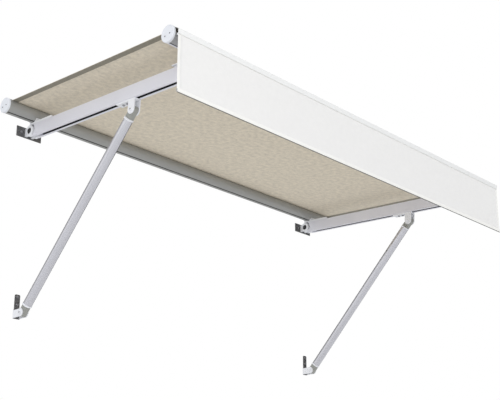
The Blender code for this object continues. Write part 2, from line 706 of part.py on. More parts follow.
def awning_fabric():
    """The taut sheet with its side hems, from the roller over the rear slot to the front slot,
    where a bead in its end holds it."""
    span = FRONT_AXIS - REAR_AXIS
    slot = math.sqrt(SHELL_RADIUS ** 2 - FABRIC_LIFT ** 2)
    bead_at = (-span + slot * 0.3, SHELL_INNER - BEAD_RADIUS * 2.5)
    path = [(slot * 0.2, FABRIC_LIFT), (-span + slot * 0.7, FABRIC_LIFT), bead_at]
    low, high = HOUSING_LEFT + FABRIC_INSET, HOUSING_RIGHT - FABRIC_INSET
    sheet = prism("awning_fabric", [ribbon(path, FABRIC)], low, high)
    sheet.parent = REAR
    hem_path = [(-slot * 1.2, FABRIC_LIFT), (-span + slot * 1.2, FABRIC_LIFT)]
    tools = [
        prism("hem_left", [ribbon(hem_path, FABRIC * 2)], low - FABRIC / 2, low + HEM_WIDTH),
        prism("hem_right", [ribbon(hem_path, FABRIC * 2)], high - HEM_WIDTH, high + FABRIC / 2),
        rod("fabric_bead", BEAD_RADIUS, low + FABRIC, high - FABRIC, bead_at),
    ]
    put(combine(sheet, tools, "UNION"), REAR, finish("beige_fabric", (0.55, 0.50, 0.42), 0.85))


def valance():
    """The drop valance: its roller, the cloth over the nose and down, and the bar in its hem."""
    low, high = HOUSING_LEFT + CAP_LENGTH + CAP_SPIGOT, HOUSING_RIGHT - CAP_LENGTH - CAP_SPIGOT
    gap, reach = ROLLER_END_GAP, BEARING_PIN_DEPTH - CLEARANCE
    profile = [
        (0, high + reach),
        (BEARING_PIN, high + reach),
        (BEARING_PIN, high - gap),
        (VALANCE_ROLLER, high - gap),
        (VALANCE_ROLLER, low + gap),
        (BEARING_PIN, low + gap),
        (BEARING_PIN, low - reach),
        (0, low - reach),
    ]
    put(turned("valance_roller", profile, (0, 0, 0), steps=24), FRONT, tube_metal())
    down = Vector((-math.sin(RAIL_PITCH), -math.cos(RAIL_PITCH)))
    ahead = Vector((down.y, -down.x))
    tip = Vector(nose_path()[-1])
    wrap = NOSE_RADIUS + CLEARANCE + FABRIC / 2
    over = [tip + Vector((-math.cos(a), math.sin(a))) * wrap for a in (math.radians(70), math.radians(35))]
    start = tip + ahead * wrap
    mouth = arc((0, 0), SHELL_RADIUS - SHELL_WALL / 2, MOUTH_AT, 0, 1)[0]
    leave = arc((0, 0), VALANCE_ROLLER + CLEARANCE + FABRIC, math.radians(65), 0, 1)[0]
    hem_top = VALANCE_DROP - VALANCE_HEM
    path = [leave, mouth, *[tuple(p) for p in over], tuple(start), tuple(start + down * hem_top)]
    edge_low, edge_high = HOUSING_LEFT + VALANCE_INSET, HOUSING_RIGHT - VALANCE_INSET
    cloth = prism("valance_fabric", [ribbon(path, FABRIC)], low + FABRIC, high - FABRIC)
    cloth.parent = FRONT
    outer = BAR_THICKNESS / 2 + CLEARANCE + FABRIC
    inner = BAR_THICKNESS / 2 + CLEARANCE

    def hang(depth, offset):
        return tuple(start + down * depth + ahead * offset)

    wide = prism(
        "valance_sides",
        [ribbon([tuple(start + down * NOSE_LAP), tuple(start + down * hem_top)], FABRIC * 1.3)],
        edge_low,
        edge_high,
    )
    pocket_low = hem_top + (VALANCE_HEM + BAR_HEIGHT) / 2 + CLEARANCE
    pocket_high = pocket_low - BAR_HEIGHT - 2 * CLEARANCE
    hem = prism(
        "valance_hem",
        [
            [
                hang(hem_top - outer, 0),
                hang(hem_top, outer),
                hang(VALANCE_DROP, outer),
                hang(VALANCE_DROP, -outer),
                hang(hem_top, -outer),
            ],
            [
                hang(pocket_high, inner),
                hang(pocket_low, inner),
                hang(pocket_low, -inner),
                hang(pocket_high, -inner),
            ],
        ],
        edge_low,
        edge_high,
    )
    put(combine(cloth, [wide, hem], "UNION"), FRONT, finish("white_fabric", (0.88, 0.87, 0.84), 0.85))
    half = BAR_THICKNESS / 2
    bar = [
        hang(pocket_high + CLEARANCE, half),
        hang(pocket_low - CLEARANCE, half),
        hang(pocket_low - CLEARANCE, -half),
        hang(pocket_high + CLEARANCE, -half),
    ]
    put(prism("valance_bar", [bar], edge_low, edge_high), FRONT, steel())


def strut(side, x, out):
    """A round tube with an eye fitting in each end, drawn upright in the strut's own frame."""
    start, end = EYE_NECK + COLLAR_LENGTH, STRUT_LENGTH - EYE_NECK - COLLAR_LENGTH
    inner = STRUT_RADIUS - STRUT_WALL
    low, high = start + CLEARANCE, end - CLEARANCE
    ring = [(STRUT_RADIUS, high), (STRUT_RADIUS, low), (inner, low), (inner, high)]
    put(turned(f"strut_tube_{side}", ring, (x, 0, 0), "Z", closed=True), STRUT, anodised())
    for name, pivot, way, play in (
        ("lower", 0.0, 1, CLEARANCE),
        ("upper", STRUT_LENGTH, -1, OPEN_PIVOT_PLAY),
    ):
        eye(f"strut_{name}_eye_{side}", x, pivot, way, play)


def eye(name, x, pivot, way, play):
    """A flat eye, its collar and the spigot that plugs the tube."""
    half = EYE_WIDTH / 2
    neck = pivot + way * (EYE_NECK + COLLAR_LENGTH / 2)
    points = arc((0, pivot), EYE_RADIUS, -math.pi, 0) if way > 0 else arc((0, pivot), EYE_RADIUS, 0, math.pi)
    sides = [(-EYE_RADIUS, neck), (EYE_RADIUS, neck)] if way > 0 else [(EYE_RADIUS, neck), (-EYE_RADIUS, neck)]
    body = prism(name, [points + sides, circle((0, pivot), PIVOT_BOLT + play)], x - half, x + half)
    body.parent = STRUT
    facing = "Z" if way > 0 else "-Z"
    spigot = STRUT_RADIUS - STRUT_WALL - CLEARANCE
    profile = [
        (0, COLLAR_LENGTH + SPIGOT_LENGTH),
        (spigot, COLLAR_LENGTH + SPIGOT_LENGTH),
        (spigot, COLLAR_LENGTH),
        (COLLAR_RADIUS, COLLAR_LENGTH),
        (COLLAR_RADIUS, 0),
        (0, 0),
    ]
    collar = turned(f"{name}_collar", profile, (x, 0, pivot + way * EYE_NECK), facing)
    put(combine(body, [collar], "UNION"), STRUT, cast())


def clevis_bracket(side, x, out):
    """The clevis under the rail, its foot plate towards the wall, its bolt, and the slot nut."""
    lift = STRUT_PIVOT_BELOW - CLEARANCE
    half = EYE_WIDTH / 2 + LUG_PLAY
    base = block(
        f"clevis_bracket_{side}",
        (x - half - LUG, -LUG_RADIUS, lift - CLEVIS_BASE),
        (x + half + LUG, CLEVIS_FOOT, lift),
    )
    base.parent = CLEVIS
    lugs = []
    for edge in (-1, 1):
        ends = sorted((x + edge * half, x + edge * (half + LUG)))
        outline = arc((0, 0), LUG_RADIUS, -math.pi, 0)
        outline += [(-LUG_RADIUS, lift - CLEVIS_BASE / 2), (LUG_RADIUS, lift - CLEVIS_BASE / 2)]
        shape = [outline, circle((0, 0), PIVOT_BOLT + CLEARANCE)]
        lugs.append(prism(f"clevis_lug_{side}_{edge}", shape, *ends))
    combine(base, lugs, "UNION")
    at = [(x, NUT_BACK + s * NUT_SCREW_SPREAD / 2) for s in (-1, 1)]
    room = [
        rod(f"nut_screw_room_{side}_{i}", NUT_SCREW + CLEARANCE, lift - CLEVIS_BASE * 2, lift * 1.2, p, "Z")
        for i, p in enumerate(at)
    ]
    put(combine(base, room, "DIFFERENCE"), CLEVIS, cast())
    grip = half + LUG + CLEARANCE
    pin = bolt(f"clevis_bolt_{side}", PIVOT_BOLT, BOLT_HEAD, BOLT_HEAD_HEIGHT, x - grip, x + grip, (0, 0))
    put(pin, CLEVIS, steel())
    floor = STRUT_PIVOT_BELOW + RAIL_WALL + CLEARANCE
    nut = block(
        f"slot_nut_{side}",
        (x - CHAMBER_HALF + RAIL_WALL, NUT_BACK - NUT_LENGTH / 2, floor),
        (x + CHAMBER_HALF - RAIL_WALL, NUT_BACK + NUT_LENGTH / 2, floor + LOWER_CHAMBER - RAIL_WALL),
    )
    nut.parent = CLEVIS
    head = lift - CLEVIS_BASE - CLEARANCE
    screws = []
    for i, p in enumerate(at):
        profile = [
            (0, floor + RAIL_WALL),
            (NUT_SCREW, floor + RAIL_WALL),
            (NUT_SCREW, head),
            (NUT_SCREW_HEAD, head),
            (NUT_SCREW_HEAD, head - NUT_SCREW_HEAD),
            (0, head - NUT_SCREW_HEAD),
        ]
        screws.append(turned(f"nut_screw_{side}_{i}", profile, (p[0], p[1], 0), "Z", steps=12))
    put(combine(nut, screws, "UNION"), CLEVIS, steel())


def lower_wall_bracket(side, x, out):
    """A narrow wall plate with two lugs at its foot for the strut's lower eye."""
    half = LOWER_PLATE_WIDTH / 2
    top, bottom = LOWER_PLATE_RISE - STRUT_FOOT_DROP, -LOWER_PLATE_DROP - STRUT_FOOT_DROP
    screws = [LOWER_SCREW_FIRST + i * LOWER_SCREW_STEP - STRUT_FOOT_DROP for i in range(2)]
    foot, shoulder = EYE_WIDTH / 2 + LUG_PLAY + LUG, LUG_RADIUS - STRUT_FOOT_DROP
    corner = LOWER_PLATE_CORNER
    round_top = arc((x - half + corner, top - corner), corner, 0, math.pi / 2)
    round_top += arc((x + half - corner, top - corner), corner, math.pi / 2, math.pi)
    outline = [(x + half, shoulder), (x + foot, shoulder), (x + foot, bottom), (x - foot, bottom)]
    outline += [(x - foot, shoulder), (x - half, shoulder), *round_top]
    holes = [circle((x, z), WALL_SCREW + CLEARANCE) for z in screws]
    plate = prism(f"lower_wall_bracket_{side}", [outline, *holes], -PLATE, 0, "Y")
    inner = EYE_WIDTH / 2 + LUG_PLAY
    lugs = []
    for edge in (-1, 1):
        ends = sorted((x + edge * inner, x + edge * (inner + LUG)))
        centre = (-STRUT_FOOT_OUT, -STRUT_FOOT_DROP)
        shape = [
            round_ear(centre, LUG_RADIUS * 0.9, LUG_RADIUS * 0.85, -PLATE / 2),
            circle(centre, PIVOT_BOLT + CLEARANCE),
        ]
        lugs.append(prism(f"foot_lug_{side}_{edge}", shape, *ends))
    put(combine(plate, lugs, "UNION"), None, cast())
    for letter, z in zip("ab", screws):
        wall_screw(f"lower_wall_screw_{side}_{letter}", x, z)
    grip = inner + LUG + CLEARANCE
    at = (-STRUT_FOOT_OUT, -STRUT_FOOT_DROP)
    foot = bolt(f"strut_foot_bolt_{side}", PIVOT_BOLT, BOLT_HEAD, BOLT_HEAD_HEIGHT, x - grip, x + grip, at)
    put(foot, None, steel())


def belt_drive(side, x, out):
    """A belt loop in the rail's upper chamber, round a pulley near each end."""
    places = {"rear": -REAR_PULLEY, "front": -RAIL_END + FRONT_PULLEY_BACK}
    half, pin = PULLEY_WIDTH / 2, CHAMBER_HALF - CLEARANCE
    for name, y in places.items():
        profile = [
            (0, pin),
            (PULLEY_PIN, pin),
            (PULLEY_PIN, half),
            (PULLEY_RADIUS, half),
            (PULLEY_RADIUS, -half),
            (PULLEY_PIN, -half),
            (PULLEY_PIN, -pin),
            (0, -pin),
        ]
        wheel = turned(f"belt_pulley_{name}_{side}", profile, (x, y, BELT_LEVEL), steps=24)
        put(wheel, RAILS, finish("black_plastic", (0.05, 0.05, 0.055), 0.5))
    rear, front = (places["rear"], BELT_LEVEL), (places["front"], BELT_LEVEL)
    loops = []
    for radius in (PULLEY_RADIUS + CLEARANCE + BELT, PULLEY_RADIUS + CLEARANCE):
        quarter = math.pi / 2
        loops.append(arc(front, radius, -quarter, quarter, 12) + arc(rear, radius, quarter, 3 * quarter, 12))
    belt = prism(f"tension_belt_{side}", loops, x - BELT_WIDTH / 2, x + BELT_WIDTH / 2)
    put(belt, RAILS, finish("black_rubber", (0.03, 0.03, 0.03), 0.7))


for side, x, out in SIDES:
    upper_wall_bracket(side, x, out)
    for letter, step in (("a", -1), ("b", 1)):
        wall_screw(f"upper_wall_screw_{side}_{letter}", x + step * UPPER_SCREW_OFFSET, 0)
    grip = RAIL_WIDTH / 2 + HUB_PROUD + CLEARANCE
    at = (-PIVOT_OUT, 0)
    pin = bolt(f"rail_pivot_bolt_{side}", PIVOT_BOLT, HUB_BOLT_HEAD, BOLT_HEAD_HEIGHT, x - grip, x + grip, at)
    put(pin, None, steel())
    guide_rail(side, x, out)
    rail_hub(side, x, out)
    rail_front_cap(side, x, out)
    rear_saddle(side, x, out)
    front_runner(side, x, out)
    strut(side, x, out)
    clevis_bracket(side, x, out)
    lower_wall_bracket(side, x, out)
    belt_drive(side, x, out)
rear_housing()
front_housing()
fabric_roller()
awning_fabric()
valance()
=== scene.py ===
import json
import math

import bmesh
import bpy
import numpy as np
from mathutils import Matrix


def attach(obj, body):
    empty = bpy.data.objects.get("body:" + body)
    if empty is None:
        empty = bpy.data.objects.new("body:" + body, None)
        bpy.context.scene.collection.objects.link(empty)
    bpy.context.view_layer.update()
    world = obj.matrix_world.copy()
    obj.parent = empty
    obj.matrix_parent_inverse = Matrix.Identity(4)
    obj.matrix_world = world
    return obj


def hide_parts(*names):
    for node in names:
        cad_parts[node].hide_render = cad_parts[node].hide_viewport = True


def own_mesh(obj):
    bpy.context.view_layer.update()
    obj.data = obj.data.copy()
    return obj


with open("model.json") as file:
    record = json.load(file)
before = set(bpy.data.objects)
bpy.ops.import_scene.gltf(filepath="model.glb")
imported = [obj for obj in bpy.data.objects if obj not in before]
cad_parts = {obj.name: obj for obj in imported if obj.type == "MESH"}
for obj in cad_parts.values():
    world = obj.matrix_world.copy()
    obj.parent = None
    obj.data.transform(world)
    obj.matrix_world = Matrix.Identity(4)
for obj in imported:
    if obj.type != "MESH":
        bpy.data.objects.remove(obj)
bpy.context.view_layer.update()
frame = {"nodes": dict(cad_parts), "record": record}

# where the awning's parts lie, in metres; the same sizes as the solids
layout = {
    "railSpacing": 2.48,        # between the rails' centre planes
    "overhang": 0.223,          # rail centre plane to an end cap's face
    "pitch": math.radians(4.1),  # slope of the rails
    "pivotOut": 0.050,          # hub axis in front of the wall
    "rearAxis": 0.019,          # along the rail, from the hub axis
    "frontAxis": 1.4505,
    "lift": 0.093,              # housing axes above the rails' middle
    "capLength": 0.014,
    "gap": 0.0003,
    "clevisAlong": 0.950,       # hub axis to the clevis bolt
    "clevisBelow": 0.1005,      # rail's middle to the clevis bolt
    "footOut": 0.070,           # lower pivot in front of the wall
    "footDrop": 1.106,          # lower pivot below the hub axis
    "slide": 1.18,              # travel of the front housing
    "valanceLift": 0.27,
}
leftEnd = -layout["overhang"]
rightEnd = layout["railSpacing"] + layout["overhang"]
shellLow = leftEnd + layout["capLength"] + layout["gap"]
shellHigh = rightEnd - layout["capLength"] - layout["gap"]
slopeCos, slopeSin = math.cos(layout["pitch"]), math.sin(layout["pitch"])
sides = (("left", 0.0, -1), ("right", layout["railSpacing"], 1))
bodies = frame["record"]["behaviour"]["bodies"]
bodyOf = {node: body for body, nodes in bodies.items() for node in nodes}


# Places: each turns coordinates of its own frame into the shared one
def fromRail(points):
    # turns rail coordinates by the pitch about X and moves them out to the hub's axis
    x, y, z = np.asarray(points, float).T
    out = -layout["pivotOut"] + y * slopeCos - z * slopeSin
    return np.column_stack((x, out, y * slopeSin + z * slopeCos))


def onHousing(along):
    # (y, z) about a housing's axis, x across
    return lambda y, z, x: fromRail(np.column_stack((x, y - along, z + layout["lift"])))


def onRail(centre):
    # (across, up) about a rail's middle line, and along it
    return lambda u, v, w: fromRail(np.column_stack((centre + u, w, v)))


def inWorld(y, z, x):
    return np.column_stack((x, y, z))


rear, front = onHousing(layout["rearAxis"]), onHousing(layout["frontAxis"])
clevisPlace = fromRail([(0, -layout["clevisAlong"], -layout["clevisBelow"])])[0]
strutWay = clevisPlace + np.array((0, layout["footOut"], layout["footDrop"]))
strutLength = float(np.linalg.norm(strutWay))
strutWay /= strutLength


def onStrut(centre):
    # (across, up) in the strut's own side view, and along X about its middle plane
    across = np.array((0, strutWay[2], -strutWay[1]))
    foot = np.array((centre, -layout["footOut"], -layout["footDrop"]))
    return lambda y, z, x: foot + np.outer(y, across) + np.outer(z, strutWay) + np.outer(x, (1, 0, 0))


# Shapes
def newObject(name, data):
    made = bpy.data.objects.new(name, data)
    bpy.context.scene.collection.objects.link(made)
    return made


def addMesh(name, points, loops, sizes, material, smooth=True, uv=None, slots=None):
    # loops is one flat array of corner indices, sizes the number of corners of each face
    mesh = bpy.data.meshes.new(name)
    sizes = np.asarray(sizes, np.int32)
    mesh.vertices.add(len(points))
    mesh.vertices.foreach_set("co", np.asarray(points, np.float32).ravel())
    mesh.loops.add(len(loops))
    mesh.loops.foreach_set("vertex_index", np.asarray(loops, np.int32))
    mesh.polygons.add(len(sizes))
    mesh.polygons.foreach_set("loop_start", np.concatenate(([0], np.cumsum(sizes)[:-1])).astype(np.int32))
    mesh.polygons.foreach_set("loop_total", sizes)
    mesh.polygons.foreach_set("use_smooth", np.full(len(sizes), smooth))
    if uv is not None:
        layer = mesh.uv_layers.new(name="cloth")
        layer.data.foreach_set("uv", np.asarray(uv, np.float32)[np.asarray(loops)].ravel())
    for each in material if isinstance(material, (list, tuple)) else [material]:
        mesh.materials.append(each)
    if slots is not None:
        mesh.polygons.foreach_set("material_index", np.asarray(slots, np.int32))
    mesh.update(calc_edges=True)
    mesh.validate()
    return newObject(name, mesh)


def gridCorners(rows, columns, closeRows=False, closeColumns=False):
    # corner indices of the quads of a rows by columns grid of points
    r = np.arange(rows if closeRows else rows - 1)
    c = np.arange(columns if closeColumns else columns - 1)
    r, c = np.meshgrid(r, c, indexing="ij")
    r, c = r.ravel(), c.ravel()
    rn, cn = (r + 1) % rows, (c + 1) % columns
    return np.column_stack((r * columns + c, r * columns + cn, rn * columns + cn, rn * columns + c)).ravel()


def cappedGrid(rows, columns):
    # the same for a grid closed round its columns, with a face at each end, and all faces' sizes
    ends = np.arange(columns), np.arange((rows - 1) * columns, rows * columns)[::-1]
    loops = np.concatenate((gridCorners(rows, columns, closeColumns=True), *ends))
    return loops, [4] * ((rows - 1) * columns) + [columns, columns]


def facesOut(piece, angle=30, weld=1e-7):
    # merges doubles, turns every face outwards and marks the sharp edges
    work = bmesh.new()
    work.from_mesh(piece.data)
    if weld:
        bmesh.ops.remove_doubles(work, verts=work.verts, dist=weld)
    bmesh.ops.recalc_face_normals(work, faces=work.faces)
    work.to_mesh(piece.data)
    work.free()
    piece.data.shade_smooth()
    piece.data.set_sharp_from_angle(angle=math.radians(angle))
    return piece


def arcPoints(radius, start, end):
    # (y, z) on a circle, every 3 degrees or less: angle 0 looks to the front, a quarter turn up
    a = np.linspace(start, end, max(3, int(abs(end - start) / math.radians(3)) + 2))
    return np.column_stack((-radius * np.cos(a), radius * np.sin(a)))


def ovalPoints(centre, across, up, count):
    a = np.linspace(0, 2 * math.pi, count, endpoint=False)
    return np.column_stack((centre[0] + across * np.cos(a), centre[1] + up * np.sin(a)))


def smoothPath(points, step=0.0008, reach=0.004):
    # the polyline resampled every step, then averaged over reach, so that its corners are round
    p = np.asarray(points, float)
    along = np.concatenate(([0], np.cumsum(np.hypot(*np.diff(p, axis=0).T))))
    s = np.linspace(0, along[-1], max(8, int(along[-1] / step)))
    fine = np.column_stack([np.interp(s, along, p[:, k]) for k in (0, 1)])
    half = max(1, int(reach / step / 2))
    wide = np.vstack((2 * fine[0] - fine[half:0:-1], fine, 2 * fine[-1] - fine[-2:-half - 2:-1]))
    even = np.ones(2 * half + 1) / (2 * half + 1)
    return np.column_stack([np.convolve(wide[:, k], even, "valid") for k in (0, 1)])


def strip(path, thickness):
    # a strip's outline: its path moved by half the thickness to both sides, with half-round ends
    p = np.asarray(path, float)
    way = np.gradient(p, axis=0)
    way /= np.hypot(*way.T)[:, None]
    side = np.column_stack((-way[:, 1], way[:, 0])) * thickness / 2
    a = np.linspace(0, math.pi, 7)[1:-1, None]
    tip = p[-1] + np.cos(a) * side[-1] + np.sin(a) * way[-1] * thickness / 2
    tail = p[0] - np.cos(a) * side[0] - np.sin(a) * way[0] * thickness / 2
    return np.vstack((p + side, tip, (p - side)[::-1], tail))


def extrude(name, outline, low, high, material, place):
    # a closed outline carried from low to high in its own frame
    p = np.asarray(outline, float)
    rings = [place(p[:, 0], p[:, 1], np.full(len(p), w)) for w in (low, high)]
    return facesOut(addMesh(name, np.vstack(rings), *cappedGrid(2, len(p)), finishes[material]))


def hemmedRing(low, high, hem, step, counts, thin, thick):
    # a cloth's closed section as x and offset from its middle, thick at its hems, thin between
    hemCount, midCount = counts
    xs = np.concatenate((
        np.linspace(low + step, low + hem, hemCount),
        np.linspace(low + hem + step, high - hem - step, midCount),
        np.linspace(high - hem, high - step, hemCount),
    ))
    half = np.full(len(xs), thin / 2)
    half[:hemCount] += (thick - thin) / 2
    half[-hemCount:] += (thick - thin) / 2
    ring = np.concatenate((xs, [high], xs[::-1], [low]))
    return ring, np.concatenate((half, [0], -half[::-1], [0]))


def closedSheet(name, points, count, materials, uv, hemFaces):
    # rings of count points, one after another; hemFaces marks a ring's faces of material two
    rows = len(points) // count
    loops, sizes = cappedGrid(rows, count)
    slots = np.concatenate((np.tile(np.where(hemFaces, 1, 0), rows - 1), [0, 0]))
    materials = [finishes[each] for each in materials]
    return facesOut(addMesh(name, points, loops, sizes, materials, uv=uv, slots=slots), 50, weld=0)


def turned(name, profile, centre, direction, material, steps=72, closed=False, angle=30):
    # a profile of radius r, height h and s, which is 1 where the ring is a hexagon, turned about d:
    # centre + h d + r (1 + s (1 / cos(((a + 30) mod 60) - 30) - 1)) (cos a u + sin a v)
    d = np.asarray(direction, float) / np.linalg.norm(direction)
    u = np.cross(d, (0.0, 0.0, 1.0) if abs(d[2]) < 0.9 else (0.0, 1.0, 0.0))
    u /= np.linalg.norm(u)
    v = np.cross(d, u)
    r, h, s = np.array([(*row, 0.0)[:3] for row in profile], float).T
    a = np.linspace(0, 2 * math.pi, steps, endpoint=False)
    six = 1 / np.cos(np.mod(a + math.pi / 6, math.pi / 3) - math.pi / 6)
    ring = np.cos(a)[:, None] * u + np.sin(a)[:, None] * v
    reach = r[:, None] * (1 + s[:, None] * (six - 1))
    points = np.asarray(centre) + h[:, None, None] * d + reach[..., None] * ring
    loops = gridCorners(len(r), steps, closeRows=closed, closeColumns=True)
    sizes = [4] * (len(loops) // 4)
    return facesOut(addMesh(name, points.reshape(-1, 3), loops, sizes, finishes[material]), angle)


def softEdges(piece, width, segments=2):
    # rounds the edges that turn by more than 35 degrees
    edge = piece.modifiers.new("edges", "BEVEL")
    edge.width = width
    edge.segments = segments
    edge.limit_method = "ANGLE"
    edge.angle_limit = math.radians(35)
    edge.use_clamp_overlap = True
    edge.harden_normals = True


def softened(node, materials, slot, width, second=None):
    # a welded copy of a solid with its sharp edges rounded; second picks the faces of material two
    piece = newObject(node + "_skin", frame["nodes"][node].data.copy())
    piece.data.materials.clear()
    for material in materials:
        piece.data.materials.append(finishes[material])
    work = bmesh.new()
    work.from_mesh(piece.data)
    bmesh.ops.remove_doubles(work, verts=work.verts, dist=1e-6)
    bmesh.ops.dissolve_limit(work, angle_limit=math.radians(1), verts=work.verts, edges=work.edges)
    for face in work.faces:
        face.material_index = 1 if second and all(second(corner.co) for corner in face.verts) else 0
    work.to_mesh(piece.data)
    work.free()
    piece.data.shade_smooth()
    piece.data.set_sharp_from_angle(angle=math.radians(35))
    softEdges(piece, width)
    return settle(piece, bodyOf[node], slot, node)


def settle(piece, body, slot, *nodes):
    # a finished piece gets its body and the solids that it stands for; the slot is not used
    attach(piece, body)
    if nodes:
        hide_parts(*nodes)
    return piece


# Finishes
def finish(name, colour, roughness, metallic=0.0):
    material = bpy.data.materials.new(name)
    material.use_nodes = True
    shader = material.node_tree.nodes["Principled BSDF"]
    shader.inputs["Base Color"].default_value = (*colour, 1)
    shader.inputs["Roughness"].default_value = roughness
    shader.inputs["Metallic"].default_value = metallic
    return material, shader


def node(material, kind, **values):
    made = material.node_tree.nodes.new(kind)
    for key, value in values.items():
        if key in made.inputs:
            made.inputs[key].default_value = value
        else:
            setattr(made, key, value)
    return made


def link(material, output, target):
    material.node_tree.links.new(output, target)


def shade(colour, factor):
    return tuple(min(1.0, c * factor) for c in colour)


def tint(material, factor, dark, light, shader):
    # a noise or wave value blends two close colours, the mix's sockets 6 and 7
    mix = node(material, "ShaderNodeMix", data_type="RGBA")
    mix.inputs[6].default_value = (*dark, 1)
    mix.inputs[7].default_value = (*light, 1)
    link(material, factor, mix.inputs[0])
    link(material, mix.outputs[2], shader.inputs["Base Color"])


def spread(material, value, roughness, low, high, shader):
    # a noise value varies the roughness between two shares of it
    reach = node(material, "ShaderNodeMapRange", **{"To Min": roughness * low, "To Max": roughness * high})
    link(material, value, reach.inputs["Value"])
    link(material, reach.outputs[0], shader.inputs["Roughness"])


def emboss(material, height, strength, distance, shader):
    bump = node(material, "ShaderNodeBump", Strength=strength, Distance=distance)
    link(material, height, bump.inputs["Height"])
    link(material, bump.outputs[0], shader.inputs["Normal"])


def noise(material, where, scale, detail, roughness=0.5):
    made = node(material, "ShaderNodeTexNoise", Scale=scale, Detail=detail, Roughness=roughness)
    link(material, where, made.inputs["Vector"])
    return made.outputs[0]


def product(material, first, second):
    both = node(material, "ShaderNodeMath", operation="MULTIPLY")
    link(material, first, both.inputs[0])
    link(material, second, both.inputs[1])
    return both.outputs[0]


def objectPlace(material):
    return node(material, "ShaderNodeTexCoord").outputs["Object"]


def extrudedMetal(name, colour, roughness, metallic, turn=0.0, run=0, change=0.06, fine=900.0, grain=0.02):
    # fine drawing lines along the extrusion in its sheen and relief, and a faint cloud in its tone;
    # turn is the extrusion's slope about X, run the axis that the lines follow
    material, shader = finish(name, colour, roughness, metallic)
    place = objectPlace(material)
    size = [1 / fine] * 3
    size[run] = 0.8
    scale = node(material, "ShaderNodeMapping", vector_type="TEXTURE", Scale=size, Rotation=(turn, 0, 0))
    link(material, place, scale.inputs["Vector"])
    lines = noise(material, scale.outputs[0], 1.0, 3.0, 0.6)
    cloud = noise(material, place, 5.0, 3.0)
    tint(material, cloud, shade(colour, 1 - change), shade(colour, 1 + change), shader)
    spread(material, lines, roughness, 0.9, 1.1, shader)
    emboss(material, lines, grain, 0.0002, shader)
    return material


def powderCoat(name, colour, roughness, change=0.04):
    # the fine orange peel of a powder coat, with a faint change in tone
    material, shader = finish(name, colour, roughness)
    place = objectPlace(material)
    cloud = noise(material, place, 14.0, 4.0)
    tint(material, cloud, shade(colour, 1 - change), colour, shader)
    spread(material, cloud, roughness, 0.85, 1.15, shader)
    emboss(material, noise(material, place, 900.0, 2.0), 0.12, 0.0004, shader)
    return material


def galvanised(name, colour, roughness):
    # crystal spangles of a zinc coat as a cell pattern, with a fine grain over them
    material, shader = finish(name, colour, roughness, 0.6)
    place = objectPlace(material)
    cells = node(material, "ShaderNodeTexVoronoi", Scale=160.0)
    link(material, place, cells.inputs["Vector"])
    grain = noise(material, place, 90.0, 5.0, 0.7)
    both = product(material, cells.outputs["Color"], grain)
    tint(material, both, shade(colour, 0.6), shade(colour, 1.5), shader)
    spread(material, grain, roughness, 0.75, 1.3, shader)
    return material


def steelFinish(name, colour, roughness):
    material, shader = finish(name, colour, roughness, 1.0)
    grain = noise(material, objectPlace(material), 400.0, 2.0)
    tint(material, grain, shade(colour, 0.85), colour, shader)
    spread(material, grain, roughness, 0.7, 1.3, shader)
    return material


def mouldedPlastic(name, colour, roughness):
    material, shader = finish(name, colour, roughness)
    grain = noise(material, objectPlace(material), 700.0, 3.0)
    tint(material, grain, shade(colour, 0.9), colour, shader)
    emboss(material, grain, 0.2, 0.0003, shader)
    return material


def wovenCloth(name, colour, thread, melange, own="cloth"):
    # warp and weft threads as two crossed waves on the cloth's own UV, in metres, with flecks of
    # a second tone along the threads and a soft mottle some centimetres wide
    material, shader = finish(name, colour, 0.85)
    place = node(material, "ShaderNodeUVMap", uv_map=own).outputs[0] if own else objectPlace(material)
    waves = []
    for direction in ("X", "Y"):
        wave = node(material, "ShaderNodeTexWave", wave_type="BANDS", bands_direction=direction,
                    Scale=0.314 / thread, Detail=1.0, Distortion=1.2)
        link(material, place, wave.inputs["Vector"])
        waves.append(wave.outputs["Fac"])
    flecks = []
    for scale in ((70.0, 420.0, 70.0), (420.0, 70.0, 420.0)):
        stretch = node(material, "ShaderNodeMapping", Scale=scale)
        link(material, place, stretch.inputs["Vector"])
        flecks.append(noise(material, stretch.outputs[0], 1.0, 4.0, 0.7))
    # first fleck times second plus the mottle
    crossed = node(material, "ShaderNodeMath", operation="MULTIPLY_ADD")
    for k, value in enumerate((*flecks, noise(material, place, 34.0, 5.0, 0.6))):
        link(material, value, crossed.inputs[k])
    tone = node(material, "ShaderNodeMapRange", **{"From Min": 0.45, "From Max": 1.05})
    link(material, crossed.outputs[0], tone.inputs["Value"])
    tint(material, tone.outputs[0], shade(colour, 1 - melange), shade(colour, 1 + melange), shader)
    emboss(material, product(material, *waves), 0.35, 0.0003, shader)
    shader.inputs["Sheen Weight"].default_value = 0.15
    shader.inputs["Sheen Roughness"].default_value = 0.5
    return material


